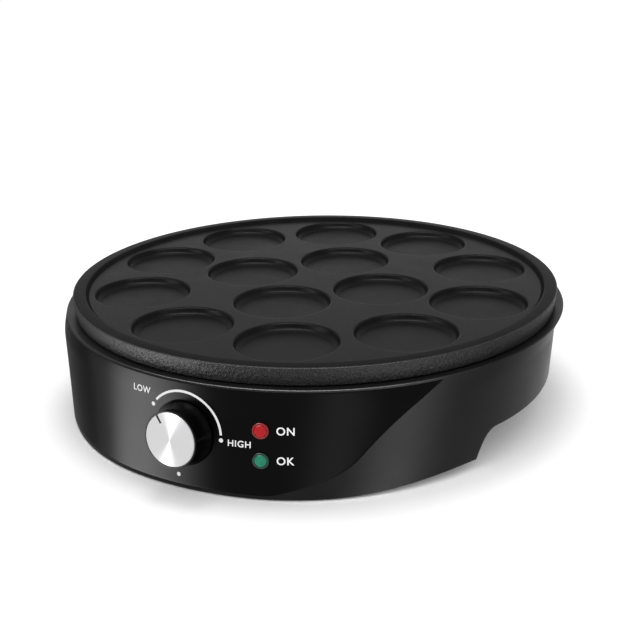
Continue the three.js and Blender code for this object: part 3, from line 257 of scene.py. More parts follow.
class Finishes(bpy.types.PropertyGroup):
    """Colours of the visible finishes, as linear values."""

    cast: colour("Cast plate", (0.010, 0.010, 0.0105), "Coating of the cast plate")
    satin: colour("Satin housing", (0.006, 0.006, 0.0063), "Moulded satin plastic")
    gloss: colour("Gloss black", (0.001, 0.001, 0.0011), "Polished plastic of the panel and knob")
    spun: colour("Spun metal", (0.84, 0.84, 0.85), "Knob's metal cap")
    red: colour("Red lamp", (0.48, 0.002, 0.006), "Upper lamp")
    green: colour("Green lamp", (0.012, 0.23, 0.135), "Lower lamp")
    printed: colour("Print", (0.95, 0.95, 0.95), "Printed marks")
    rubber: colour("Rubber", (0.012, 0.012, 0.012), "Feet and gland")


class StageSettings(bpy.types.PropertyGroup):
    """Camera, lamps and floor."""

    heading: angle("Heading", 26.5, "Camera's turn from the front")
    distance: length("Distance", 702.44, "Camera from the middle of the plate's rim")
    elevation: angle("Elevation", 17.967, "Camera's height angle")
    pitch: angle("Pitch", 20.234, "Camera's tilt below the horizon")
    yaw: angle("Yaw", 0.2325, "Camera's turn away from the plate")
    roll: angle("Roll", -1.017, "Camera's roll")
    lens: FloatProperty(name="Lens", description="Focal length", default=62.79, subtype="DISTANCE_CAMERA")
    floor_size: length("Floor", 40000, "Radius of the floor")
    floor_tone: level("Floor tone", 0.95, "Paleness of the floor")
    card_tone: level("Card tone", 0.22, "Paleness of the dark card")
    aim: length("Aim", 40, "Height that the lamps shine at")
    ambient: level("Ambient", 0.98, "Light of the surroundings on plain surfaces")
    glow: level("Floor light", 0.07, "Light of its own that the floor shows to the camera and in gloss")


SETTINGS = {
    "maker_plate": PlateSizes,
    "maker_wall": WallSizes,
    "maker_panel": PanelSizes,
    "maker_knob": KnobSizes,
    "maker_lamps": LampSizes,
    "maker_marks": MarkSizes,
    "maker_feet": FootSizes,
    "maker_finishes": Finishes,
    "maker_stage": StageSettings,
}


def points_of(x, y, z):
    """Three coordinates, as arrays or numbers, made one array of points."""
    return np.stack(np.broadcast_arrays(x, y, z), axis=-1)


def around(radius, turn, height):
    """Points round the plate's axis: x is the radius times the turn's sine, y less it times its cosine."""
    return points_of(AXIS.x + radius * np.sin(turn), AXIS.y - radius * np.cos(turn), height)


def circle(turns):
    """Points of the unit circle: x is the turn's cosine, y its sine."""
    return np.stack([np.cos(turns), np.sin(turns)], axis=-1)


def smooth(value, low, high):
    """0 below low, 1 above high, and 3s² - 2s³ of the share s between them."""
    share = np.clip((value - low) / (high - low), 0, 1)
    return share * share * (3 - 2 * share)


def from_front(turn):
    """Turns folded to 0 at the front and half a turn at the rear."""
    return np.abs((turn + np.pi) % TURN - np.pi)


def wall_radius(turn, height, wall):
    """Radius of the housing's outer face.

    A mean radius with three cosine waves round the axis. Below the straight part's top the foot stands
    out at the front and rear and tucks in at the grips, in proportion to the depth, eased at the top by a
    hyperbola. Above it the radius runs out to the lip's by the power 1.5 of the height.
    """
    waves = (wall.forward, wall.oval, wall.shield)
    section = wall.mean + sum(wave * np.cos(order * turn) for order, wave in enumerate(waves, 1))
    off = from_front(turn)
    flare = np.where(off < np.pi / 2, wall.front_flare, wall.rear_flare)
    tuck = smooth(np.minimum(off, np.pi - off), wall.flare_start, wall.flare_end)
    foot = flare - (flare + wall.grip_tuck) * tuck
    depth = 1 - height / wall.straight
    depth = (depth + np.hypot(depth, wall.softness)) / 2 - wall.softness**2 / 4
    rise = np.clip((height - wall.straight) / (wall.lip - wall.straight), 0, 1)
    return section + foot * np.maximum(depth, 0) * (1 - rise) + (wall.lip_radius - section) * rise**1.5


def apron_height(turn, wall):
    """Height of an apron's edge: a base height and a smooth lift towards the apron's ends."""
    off = from_front(turn)
    side = np.minimum(off, np.pi - off)
    return wall.apron + wall.apron_rise * smooth(side, wall.rise_start, wall.front_apron)


def edge_height(turn, wall):
    """Height of the housing's lower edge: the apron's, rising to the grip's by a power of what is left."""
    off = from_front(turn)
    past = np.minimum(off - wall.front_apron, np.pi - off - wall.rear_apron) / wall.corner
    left = (1 - np.clip(past, 0, 1)) ** wall.corner_power
    return wall.grip - (wall.grip - apron_height(turn, wall)) * left


def panel_right(height, wall, panel):
    """Turn of the panel's slanted edge.

    Its arc from the front grows with the height and with a power of the height's share of the lip's, less a
    toe by a power of the depth below the toe's height.
    """
    toe = panel.toe * np.maximum(1 - height / panel.toe_height, 0) ** panel.toe_power
    sweep = panel.sweep * (height / wall.lip) ** panel.sweep_power
    arc = panel.right + panel.slant * height + sweep - toe
    return arc / wall_radius(np.zeros_like(height), height, wall)


def wall_frame(turn, height, wall):
    """Place, right, up and outward directions on the wall, from differences of the radius to each side."""
    step = 0.3 * MM
    turns = turn + np.array([0, 1, -1, 0, 0]) * step / wall.mean
    heights = height + np.array([0, 0, 0, 1, -1]) * step
    points = around(wall_radius(turns, heights, wall), turns, heights)
    right = Vector(points[1] - points[2]).normalized()
    out = right.cross(Vector(points[3] - points[4])).normalized()
    return Vector(points[0]), right, out.cross(right), out


def in_frame(surface, spot):
    """A surface given along a frame's right, up and outward directions, put at the frame's place."""
    points, cells = surface
    place, *ways = spot
    return points @ np.array(ways) + np.array(place), cells


def grid_quads(rows, columns, close_rows=False, close_columns=False):
    """Cells of a grid numbered row by row, where a closed direction joins its last line to its first."""
    ids = np.arange(rows * columns).reshape(rows, columns)
    if close_rows:
        ids = np.concatenate([ids, ids[:1]])
    if close_columns:
        ids = np.concatenate([ids, ids[:, :1]], axis=1)
    corners = [ids[:-1, :-1], ids[:-1, 1:], ids[1:, 1:], ids[1:, :-1]]
    return np.stack(corners, axis=-1).reshape(-1, 4)


def sheet(points, close_rows=False, close_columns=False):
    """A grid of points as a surface: the points in a list and its cells."""
    return points.reshape(-1, 3), grid_quads(*points.shape[:2], close_rows, close_columns)


def slab(front, back):
    """A closed slab between two grids of the same shape: both sheets and a strip round their edges."""
    rows, columns = front.shape[:2]
    ids = np.arange(rows * columns).reshape(rows, columns)
    loop = np.concatenate([ids[0], ids[1:, -1], ids[-1, -2::-1], ids[-2:0:-1, 0]])
    after = np.roll(loop, -1)
    strip = np.stack([loop, after, after + rows * columns, loop + rows * columns], axis=-1)
    cells = grid_quads(rows, columns)
    points = np.concatenate([front.reshape(-1, 3), back.reshape(-1, 3)])
    return points, np.concatenate([cells, cells + rows * columns, strip])


def turned(profile, count):
    """A profile of radius and height turned about Z: x and y are the radius times cosine and sine."""
    x, y = circle(np.arange(count) * TURN / count).T
    radius, height = np.asarray(profile, float).T[..., None]
    return sheet(points_of(radius * x, radius * y, height), close_columns=True)


def moved(surface, x, y, z=0.0):
    """A surface moved to a place."""
    points, cells = surface
    return points + np.array([x, y, z]), cells


def eased(corners, cuts, steps=4):
    """A line of corners, where each one with a cut becomes a curve weighted by squares of two shares."""
    corners = np.asarray(corners, float)
    share = np.linspace(0, 1, steps + 1)[:, None]
    parts = []
    for i, cut in enumerate(cuts):
        here = corners[i]
        if cut <= 0 or i in (0, len(corners) - 1):
            parts.append(here[None])
            continue
        before, after = corners[i - 1] - here, corners[i + 1] - here
        start = here + before * min(cut / np.linalg.norm(before), 0.5)
        end = here + after * min(cut / np.linalg.norm(after), 0.5)
        parts.append((1 - share) ** 2 * start + 2 * share * (1 - share) * here + share**2 * end)
    return np.concatenate(parts)


def make_mesh(name, surfaces, sharp):
    """Joins surfaces into one welded mesh with faces outwards.

    A surface is its points, its cells and, where it has several materials, their numbers cell by cell. The
    mesh is smooth but for edges sharper than an angle, or flat where no angle is given.
    """
    points, cells, kinds, start = [], [], [], 0
    for corners, quads, *kind in surfaces:
        points.append(corners)
        cells.append(quads + start)
        kinds.append(kind[0] if kind else np.zeros(len(quads)))
        start += len(corners)
    mesh = bpy.data.meshes.new(name)
    mesh.from_pydata(np.concatenate(points), [], np.concatenate(cells))
    mesh.polygons.foreach_set("material_index", np.concatenate(kinds).astype(np.int32))
    work = bmesh.new()
    work.from_mesh(mesh)
    bmesh.ops.remove_doubles(work, verts=work.verts, dist=WELD)
    bmesh.ops.recalc_face_normals(work, faces=work.faces)
    work.to_mesh(mesh)
    work.free()
    if sharp is not None:
        mesh.shade_smooth()
        mesh.set_sharp_from_angle(angle=math.radians(sharp))
    return mesh


def add_piece(name, mesh, materials, body, replaced=()):
    """Puts a mesh in the scene as a piece that rides on a body."""
    for material in materials:
        mesh.materials.append(material)
    piece = bpy.data.objects.new(name, mesh)
    bpy.context.scene.collection.objects.link(piece)
    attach(piece, body)
    if replaced:
        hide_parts(*replaced)
    return piece


class Look(NamedTuple):
    """A finish, with its sizes in millimetres.

    The tint is a colour or the name of its setting, and the shade darkens it. Drift is a soft noise's size,
    the share by which it moves the colour to each side, and how far it moves the roughness. Grain is a
    finer noise's size, strength, depth and detail. Facets are the size, strength and depth of pressed
    cells. All three are stretched along the axes.
    """

    tint: object
    roughness: float
    specular: float = 0.5
    drift: tuple = ()
    grain: tuple = ()
    sockets: dict = {}
    stretch: tuple = (1, 1, 1)
    shade: float = 1.0
    facets: tuple = ()


CAST_DRIFT, MOULDED_DRIFT, POLISHED_DRIFT = (18, 0.12, 0.05), (25, 0.06, 0.03), (30, 0.1, 0.02)
CAST_GRAIN, POLISHED_GRAIN = (0.5, 0.12, 0.05, 4), (22, 0.15, 0.03, 2)
METAL = {"Metallic": 1.0}
LENS_DRIFT, LENS_FACETS = (2.5, 0.18, 0.04), (0.9, 0.5, 0.12)
LENS = {"Coat Weight": 0.2, "Coat Roughness": 0.12, "Transmission Weight": 0.1}
COLLAR_DRIFT, COLLAR_GRAIN = (3, 0.15, 0.05), (1.5, 0.1, 0.02, 2)
COLLAR = {"Coat Weight": 0.5, "Coat Roughness": 0.12}

LOOKS = {
    "cast_coat": Look("cast", 0.30, 0.018, CAST_DRIFT, CAST_GRAIN),
    "cast_wall": Look("cast", 0.42, 0.12, CAST_DRIFT, (2, 1, 0.8, 4)),
    "cast_band": Look("cast", 0.24, 0.007, CAST_DRIFT, CAST_GRAIN),
    "cast_slope": Look("cast", 0.45, 0.0, CAST_DRIFT, CAST_GRAIN),
    "satin_plastic": Look("satin", 0.36, 0.08, MOULDED_DRIFT, (0.35, 0.1, 0.05, 2)),
    "satin_cover": Look("satin", 0.5, 0.3, MOULDED_DRIFT, (0.4, 0.2, 0.05, 2)),
    "gloss_panel": Look("gloss", 0.24, 0.055, POLISHED_DRIFT, POLISHED_GRAIN),
    "gloss_knob": Look("gloss", 0.22, 0.08, POLISHED_DRIFT, POLISHED_GRAIN),
    "print_white": Look("printed", 0.45, 0.4, MOULDED_DRIFT, (0.3, 0.05, 0.05, 2)),
    "rubber_black": Look("rubber", 0.8, 0.2, MOULDED_DRIFT, (0.25, 0.3, 0.05, 2)),
    "gland_rubber": Look("rubber", 0.75, 0.2, MOULDED_DRIFT, (0.3, 0.3, 0.05, 2)),
    "ceramic": Look((0.74, 0.71, 0.64), 0.55, 0.4, MOULDED_DRIFT, (0.4, 0.15, 0.05, 2)),
    "lead_cover": Look((0.66, 0.63, 0.56), 0.7, 0.3, MOULDED_DRIFT, (0.5, 0.3, 0.05, 2)),
    "bulb_glass": Look((0.9, 0.93, 0.93), 0.05, sockets={"Transmission Weight": 0.9}),
    "zinced_steel": Look(
        (0.45, 0.45, 0.46), 0.38, 0.5, (3, 0.08, 0.08), (0.5, 0.2, 0.02, 2), METAL, (1, 1, 6)
    ),
    "bright_pan": Look(
        (0.62, 0.62, 0.63), 0.3, 0.5, (4.2, 0.08, 0.08), (0.7, 0.15, 0.02, 2), METAL, (1, 5, 1)
    ),
    "brass": Look(
        (0.55, 0.38, 0.14), 0.32, 0.5, (2.4, 0.08, 0.08), (0.4, 0.15, 0.02, 2), METAL, (4, 1, 1)
    ),
    "power_lamp_tint": Look("red", 0.22, 0.12, LENS_DRIFT, sockets=LENS, facets=LENS_FACETS),
    "ready_lamp_tint": Look("green", 0.22, 0.12, LENS_DRIFT, sockets=LENS, facets=LENS_FACETS),
    "power_lamp_collar_tint": Look("red", 0.25, 0.3, COLLAR_DRIFT, COLLAR_GRAIN, COLLAR, shade=0.45),
    "ready_lamp_collar_tint": Look("green", 0.25, 0.3, COLLAR_DRIFT, COLLAR_GRAIN, COLLAR, shade=0.12),
}
# The middle part of a soft noise, over which colour and roughness drift.
NOISE_LOW, NOISE_HIGH = 0.3, 0.7


def feed(tree, node, inputs):
    """Sets a node's inputs: a value goes on the socket, another node's output is linked to it."""
    for key, value in inputs.items():
        if isinstance(value, bpy.types.NodeSocket):
            tree.links.new(value, node.inputs[key])
        else:
            node.inputs[key].default_value = value


def add_node(tree, kind, inputs, output=0, **settings):
    """An output of a new shader node with its inputs and settings."""
    made = tree.nodes.new("ShaderNode" + kind)
    for key, value in settings.items():
        setattr(made, key, value)
    feed(tree, made, inputs)
    return made.outputs[output]


def worked(tree, operation, first, second):
    """The outcome of a Math node."""
    return add_node(tree, "Math", {0: first, 1: second}, operation=operation)


def raised(tree, height, strength, depth):
    """The normal of a surface that a pattern raises by a depth in millimetres."""
    return add_node(tree, "Bump", {"Height": height, "Strength": strength, "Distance": depth * MM})


def base_finish(name, colour, roughness, specular, sockets):
    """A material with a Principled shader and its constant values."""
    material = bpy.data.materials.new(name)
    material.use_nodes = True
    tree = material.node_tree
    shader = tree.nodes["Principled BSDF"]
    feed(tree, shader, {"Base Color": (*colour, 1), "Roughness": roughness, "Specular IOR Level": specular})
    feed(tree, shader, sockets)
    return material, tree, shader


def noise_of(tree, place, size, detail, roughness):
    """Soft noise of a size in millimetres."""
    inputs = {"Vector": place, "Scale": 1 / (size * MM), "Detail": detail, "Roughness": roughness}
    return add_node(tree, "TexNoise", inputs)


def drifting(tree, place, colour, roughness, size, spread, rough_spread):
    """Colour and roughness that drift by soft noise of a size, by a spread to each side."""
    noise = noise_of(tree, place, size, 4, 0.55)
    blend = add_node(tree, "ValToRGB", {"Fac": noise})
    low, high = blend.node.color_ramp.elements
    low.position, high.position = NOISE_LOW, NOISE_HIGH
    low.color = (*[value * (1 - spread) for value in colour], 1)
    high.color = (*[min(value * (1 + spread), 1) for value in colour], 1)
    ends = {"To Min": max(roughness - rough_spread, 0.02), "To Max": min(roughness + rough_spread, 1)}
    ends |= {"From Min": NOISE_LOW, "From Max": NOISE_HIGH}
    return {"Base Color": blend, "Roughness": add_node(tree, "MapRange", {"Value": noise, **ends})}


def finish(context, name):
    """A new material of a look: its colour and gloss drift, and its grain or facets stand out."""
    look = LOOKS[name]
    tint = getattr(context.scene.maker_finishes, look.tint) if isinstance(look.tint, str) else look.tint
    tint = [value * look.shade for value in tint]
    material, tree, shader = base_finish(name, tint, look.roughness, look.specular, look.sockets)
    if look.drift:
        place = add_node(tree, "TexCoord", {}, "Object")
        place = add_node(tree, "Mapping", {"Vector": place, "Scale": look.stretch})
        feed(tree, shader, drifting(tree, place, tint, look.roughness, *look.drift))
    if look.grain:
        size, strength, depth, detail = look.grain
        noise = noise_of(tree, place, size, detail, 0.6)
        feed(tree, shader, {"Normal": raised(tree, noise, strength, depth)})
    if look.facets:
        size, strength, depth = look.facets
        cells = {"Vector": place, "Scale": 1 / (size * MM), "Randomness": 0.15}
        cells = add_node(tree, "TexVoronoi", cells)
        feed(tree, shader, {"Normal": raised(tree, cells, strength, depth)})
    return material


def spun_finish(context):
    """Spun metal: fine grooves round the axis, from the UV map's radius, and a gloss drawn round them."""
    across = {"Metallic": 1.0, "Anisotropic": 0.96, "Anisotropic Rotation": 0.25}
    material, tree, shader = base_finish("spun_metal", context.scene.maker_finishes.spun, 0.5, 0.5, across)
    uv = add_node(tree, "UVMap", {}, uv_map="round")
    radius = add_node(tree, "SeparateXYZ", {"Vector": uv}, "Y")
    grooves = {"W": radius, "Scale": 90, "Detail": 3, "Roughness": 0.7}
    grooves = add_node(tree, "TexNoise", grooves, noise_dimensions="1D")
    rough = add_node(tree, "MapRange", {"Value": grooves, "To Min": 0.42, "To Max": 0.54})
    tangent = add_node(tree, "Tangent", {}, direction_type="UV_MAP", uv_map="round")
    normal = raised(tree, grooves, 0.25, 0.01)
    feed(tree, shader, {"Roughness": rough, "Normal": normal, "Tangent": tangent})
    return material


def well_loops(plate):
    """Radius and height down a well: floor's edge, eased lip, drafted wall, eased foot, flat bottom."""
    floor = plate.top - plate.drop
    bottom = floor - plate.depth
    foot = plate.well - plate.well_draft
    wide = plate.well + 1.5 * plate.well_edge
    corners = [(wide, floor), (plate.well, floor), (foot, bottom), (foot * 0.5, bottom), (0, bottom)]
    return eased(corners, [0, plate.well_edge, plate.well_round, 0, 0], 5)


def well_cell(centre, boundary, profile):
    """A well and its share of the floor.

    Each boundary point gives a direction from the well's centre. Along it the profile's radii run outwards
    from the centre, and past the well's edge the floor runs straight to the boundary in two equal parts.
    """
    reach = boundary - centre
    far = np.linalg.norm(reach, axis=1)
    radius, height = profile[::-1].T
    radius = np.repeat(radius[:, None], len(far), axis=1)
    radius = np.concatenate([radius, [(radius[-1] + far) / 2], [far]])
    height = np.append(height, [height[-1]] * 2)
    x, y = np.moveaxis(centre + radius[..., None] * reach / far[:, None], -1, 0)
    return sheet(points_of(x, y, height[:, None]), close_columns=True)


def plan_ring(radius, degrees):
    """Points of a circle round the plate's axis in plan, at turns in degrees."""
    return around(radius, np.radians(degrees), 0.0)[:, :2]


def ray(turn, low, high, count):
    """Points of a line from the plate's axis in plan, without the last."""
    return plan_ring(np.linspace(low, high, count, endpoint=False), turn)


def plate_floor(plate):
    """Floor with its wells, as ten outer cells and four inner ones that meet along circles and rays."""
    middle = (plate.outer_ring + plate.inner_ring) / 2
    rim = plate.radius - plate.rim - plate.fillet
    surfaces = []
    for count, first, ring, low, high, steps in (
        (10, 0, plate.outer_ring, middle, rim, 20),
        (4, -45, plate.inner_ring, 0, middle, 24),
    ):
        for start in range(first, first + 360, 360 // count):
            end = start + 360 // count
            sides = [plan_ring(low, np.arange(start, end))] if low else []
            sides += [ray(end, low, high, steps), plan_ring(high, np.arange(end, start, -1))]
            sides += [ray(start, high, low, steps)]
            centre = plan_ring(ring, [(start + end) / 2])[0]
            surfaces.append(well_cell(centre, np.concatenate(sides), well_loops(plate)))
    return surfaces


def plate_rim(plate):
    """Rim and underside as a profile turned round the axis, in turns of one degree that meet the floor's.

    Its materials are 0 below, 1 on the wall, 2 on the band and 3 on the slope down to the floor.
    """
    base = plate.top - plate.thick
    inner, foot = plate.radius - plate.rim, plate.radius - plate.draft
    drip, drip_inner = base - plate.drip, foot - plate.drip_width
    ring = (plate.outer_ring + plate.inner_ring) / 2
    near, far = ring - plate.element, ring + plate.element
    low = base - plate.rib_height
    corners = [
        (inner - plate.fillet, plate.top - plate.drop), (inner, plate.top),
        (plate.radius - plate.edge / 3, plate.top - plate.crown), (foot, drip),
        (drip_inner, drip), (drip_inner - plate.drip, base),
        (far + plate.rib, base), (far + plate.rib, low), (far, low), (far, base),
        (near, base), (near, low), (near - plate.rib, low), (near - plate.rib, base), (0, base),
    ]  # fmt: skip
    cuts = [0, plate.edge * 1.4, plate.edge, plate.edge * 0.7] + [0] * (len(corners) - 4)
    profile = eased(corners, cuts, 5)
    points, cells = moved(turned(profile, 360), AXIS.x, AXIS.y)
    radius, height = profile[np.arange(len(cells)) // 360].T
    wall = (radius > foot - plate.edge) & (height > base - 2 * plate.drip)
    top = (height > base) & ~wall
    slope = top & (radius < inner - plate.edge * 0.3)
    return points, cells, 1 * wall + 2 * top + 1 * slope


def plate_bosses(plate):
    """Bosses under the plate: seven short turned posts that stand into its underside."""
    base = plate.top - plate.thick + 0.5 * MM
    surfaces = []
    for radius, ring, low, turns in (
        (plate.boss, plate.boss_ring, plate.boss_low, (45, 135, 225, 315)),
        (plate.clamp_boss, plate.clamp_ring, plate.clamp_low, (-100, 0, 100)),
    ):
        profile = eased([(0, low), (radius, low), (radius, base), (0, base)], [0, 0.4 * MM, 0, 0])
        surfaces += [moved(turned(profile, 32), *plan_ring(ring, [turn])[0]) for turn in turns]
    return surfaces


class MAKER_OT_plate(bpy.types.Operator):
    """Cast plate with its rim and fourteen wells"""

    bl_idname = "maker.plate"
    bl_label = "Cooking plate"

    def execute(self, context):
        plate = context.scene.maker_plate
        mesh = make_mesh("plate", [*plate_floor(plate), *plate_bosses(plate), plate_rim(plate)], 40)
        looks = [finish(context, f"cast_{part}") for part in ("coat", "wall", "band", "slope")]
        add_piece("plate", mesh, looks, ROOT, ["cooking_plate"])
        return {"FINISHED"}


def wall_columns(upright, wall, panel):
    """Turns of the housing's columns for each row, and which columns lie in the panel's bed.

    Between the panel's left edge and its slanted right edge the columns share the turn evenly. Past it they
    run evenly to a fixed turn, and from there on they are fixed, closer together at the aprons' corners.
    """
    gap = panel.gap / wall.lip_radius
    left = panel.left - gap
    right = (panel_right(upright, wall, panel) + gap)[:, None]
    bed = left + (right - left) * np.linspace(0, 1, 110)
    fixed = math.radians(57)
    beside = right + (fixed - right) * np.linspace(0, 1, 36)[1:]
    rise = wall.corner * np.linspace(0, 1, 26) ** 1.5
    front, rear = wall.front_apron, np.pi - wall.rear_apron
    side = np.linspace(front + wall.corner, rear - wall.corner, 36)[1:-1]
    half = np.concatenate([front + rise, side, rear - rise[::-1]])
    front_end = np.linspace(fixed, front, 6)[1:-1]
    rear_part = np.linspace(rear, TURN - rear, 70)[1:-1]
    front_start = np.linspace(TURN - front, TURN + left, 6)[1:-1]
    rest = np.concatenate([front_end, half, rear_part, TURN - half[::-1], front_start])
    rest = np.repeat(rest[None], len(upright), axis=0)
    columns = np.concatenate([np.full((len(upright), 1), left), bed, right, beside, rest], axis=1)
    number = np.arange(columns.shape[1])
    return columns, (number > 0) & (number <= bed.shape[1])


def housing_grid(wall, panel):
    """Rows of the housing from its lower edge up the outer face, over the lip and down the inside.

    A row's height is a share of the lower edge's height and a rest, its radius a share of the wall's radius
    and a rest. In the panel's bed the outer rows lie deeper by the panel and its bed.
    """
    low = wall.apron + panel.foot - panel.gap
    high = panel.top + panel.gap
    band = panel.foot - panel.gap
    lip_low = wall.lip - wall.edge
    ledge_low, rib_top = wall.ledge - wall.ledge_thick, wall.rib_low + wall.rib_height
    shoulder_low = wall.lip - wall.shoulder_dip
    cosine, sine = circle(np.linspace(0, np.pi / 2, 5)).T * wall.edge
    rounding = list(zip(wall.edge - cosine, wall.edge - sine))
    rows = [(low, 1, rise, 1, -inset, 0) for rise, inset in rounding]
    rows += [(low, 1, band, 1, 0, bedded) for bedded in (0, 1)]
    ways = np.linspace(0, 1, 40)
    rows += [(low + (high - low) * way, 1 - way, band + (high - band) * way, 1, 0, 1) for way in ways]
    rows += [(high, 0, height, 1, 0, 0) for height in (high, (high + lip_low) / 2)]
    rows += [(high, 0, lip_low + rise, 1, -inset, 0) for rise, inset in zip(sine, wall.edge - cosine)]
    inside = [
        (0, shoulder_low, 0, wall.shoulder + wall.shoulder_cut),
        (0, shoulder_low - wall.shoulder_cut, 0, wall.shoulder),
        (0, wall.ledge, 0, wall.shoulder),
        (0, wall.ledge, 0, wall.ledge_inner),
        (0, ledge_low, 0, wall.ledge_inner),
        (0, wall.straight, 1, -wall.thick),
        (0, rib_top, 1, -wall.thick),
        (0, rib_top - wall.rib / 2, 1, -wall.thick - wall.rib),
        (0, wall.rib_low, 1, -wall.thick - wall.rib),
        (0, wall.rib_low, 1, -wall.thick),
        (1, 0, 1, -wall.thick),
    ]
    rows += [(upright, *row, 0) for upright, row in zip(np.linspace(high, low, len(inside)), inside)]
    upright, edge_share, rise, wall_share, rest, bedded = np.array(rows, float).T[..., None]
    columns, in_bed = wall_columns(upright[:, 0], wall, panel)
    height = edge_share * edge_height(columns, wall) + rise
    radius = wall_share * wall_radius(columns, np.minimum(height, wall.lip), wall) + rest
    return around(radius - (panel.thick + panel.bed) * in_bed * bedded, columns, height)


class MAKER_OT_housing(bpy.types.Operator):
    """Housing: wall, lip, shoulder and ledge, with the bed for the panel"""

    bl_idname = "maker.housing"
    bl_label = "Housing"

    def execute(self, context):
        grid = housing_grid(context.scene.maker_wall, context.scene.maker_panel)
        mesh = make_mesh("housing", [sheet(grid, close_rows=True, close_columns=True)], 35)
        satin = [finish(context, "satin_plastic")]
        add_piece("housing", mesh, satin, ROOT, ["housing_shell"])
        return {"FINISHED"}


def panel_lines(count, near):
    """Lines across the panel, closer at both ends: even shares of the way, and distances from an end."""
    shares = np.concatenate([np.zeros(len(near)), np.linspace(0, 1, count + 2)[1:-1], np.ones(len(near))])
    return shares, np.concatenate([near, np.zeros(count), -near[::-1]])


def panel_grids(wall, panel):
    """Front and back of the panel.

    The front's radius is the wall's less an easing near each edge, r - sqrt(r² - (r - d)²) at a distance d
    from it. The back lies deeper by the panel's thickness.
    """
    near = panel.edge * np.array([0, 0.12, 0.35, 0.65, 1.0])
    row_share, rows = panel_lines(38, near)
    column_share, columns = panel_lines(104, near)
    low_upright = wall.apron + panel.foot
    upright = low_upright + (panel.top - low_upright) * row_share + rows
    right = panel_right(upright, wall, panel)[:, None]
    turn = panel.left + (right - panel.left) * column_share + columns / wall.lip_radius
    low = apron_height(turn, wall) + panel.foot
    height = low + (panel.top - low) * row_share[:, None] + rows[:, None]

    def easing(distance):
        left = np.clip(panel.edge - distance, 0, panel.edge)
        return panel.edge - np.sqrt(panel.edge**2 - left**2)

    row_distance = np.minimum(height - low, panel.top - height)
    column_distance = np.minimum(turn - panel.left, right - turn) * wall.lip_radius
    relief = np.minimum(easing(row_distance) + easing(column_distance), panel.edge * 1.2)
    radius = wall_radius(turn, height, wall)
    return around(radius - relief, turn, height), around(radius - panel.thick, turn, height)


class MAKER_OT_panel(bpy.types.Operator):
    """Gloss front panel with its slanted right edge"""

    bl_idname = "maker.panel"
    bl_label = "Front panel"

    def execute(self, context):
        grids = panel_grids(context.scene.maker_wall, context.scene.maker_panel)
        mesh = make_mesh("panel", [slab(*grids)], 50)
        add_piece("panel", mesh, [finish(context, "gloss_panel")], ROOT, ["front_panel"])
        return {"FINISHED"}


def knob_frame():
    """The knob's frame from its joint: its place on the wall, right, up and outwards."""
    out = -Vector(KNOB_JOINT["axis"]).normalized()
    right = Vector((1, 0, 0))
    return Vector(KNOB_JOINT["pos_m"]), right, out.cross(right), out


def knob_body_profile(knob):
    """Radius and height of the knob's body: the cap's seat, rim, side, eased neck, skirt and hollow back."""
    face, rim = knob.height - knob.cap_thick, knob.height - knob.bevel * 0.7
    seat = knob.cap + knob.cap_gap
    hollow = face - knob.skin
    corners = [
        (0, face), (seat, face), (seat, rim), (knob.face, rim),
        (knob.neck, knob.gap + 2.4 * knob.base_height),
        (knob.base, knob.gap + 0.25 * knob.base_height), (knob.base, knob.gap),
        (knob.base - knob.skin, knob.gap), (knob.face - knob.skin, hollow), (knob.hub, hollow),
        (knob.hub, knob.gap), (knob.bore, knob.gap), (knob.bore, knob.socket), (0, knob.socket),
    ]  # fmt: skip
    cuts = [0, 0, 0.12, 0.45, 3.0, 0.4, 0.2, 0.2, 0.6, 0, 0, 0, 0, 0]
    return eased(corners, [cut * MM for cut in cuts], 6)


def knob_cap_surface(knob):
    """Spun cap: a disc with a cut bevel, whose outline runs in and out again at the notch.

    Inside the notch's end the rows are circles, each column at an even share of the turn.
    """
    low = knob.height - knob.cap_thick + knob.cap_lift
    inner = knob.cap - knob.notch
    side, inner_side = (math.asin(knob.notch_width / 2 / reach) for reach in (knob.cap, inner))
    up = math.pi / 2
    turns = np.linspace(up + side, up + TURN - side, 220)
    foot = np.linspace(up - inner_side, up + inner_side, 7)
    outline = np.concatenate([circle(turns) * knob.cap, circle(foot) * inner])
    inward = -outline / np.linalg.norm(outline, axis=1)[:, None]
    even = np.linspace(inner_side, TURN - inner_side, len(turns) + 2)[1:-1] + up
    ring = circle(np.concatenate([even, foot])) * (inner - 2 * knob.bevel)
    rows = [(outline * share, low) for share in (0.0, 0.5, 1.0)]
    rows += [(outline, knob.height - knob.bevel), (outline + inward * knob.bevel, knob.height)]
    rows += [(ring * share, knob.height) for share in np.linspace(1, 0, 12)]
    return sheet(np.stack([points_of(*plan.T, height) for plan, height in rows]), close_columns=True)


def pointer_bar(knob):
    """Flat bar of the body that fills the cap's notch, and stands into the rim and the seat."""
    into_rim, into_seat = 0.3 * MM, 0.2 * MM
    half = knob.notch_width / 2 - knob.cap_gap
    ends = knob.cap - knob.notch + knob.cap_gap, knob.cap + into_rim
    x, y = np.meshgrid([-half, half], np.linspace(*ends, 5))
    heights = knob.height - knob.bevel, knob.height - knob.cap_thick - into_seat
    return slab(*(points_of(x, y, height) for height in heights))


def spin(surface, turn):
    """A surface turned clockwise, as seen from outside, round its Z."""
    (x, y, z), cells = surface[0].T, surface[1]
    sine, cosine = math.sin(turn), math.cos(turn)
    return points_of(x * cosine + y * sine, y * cosine - x * sine, z), cells


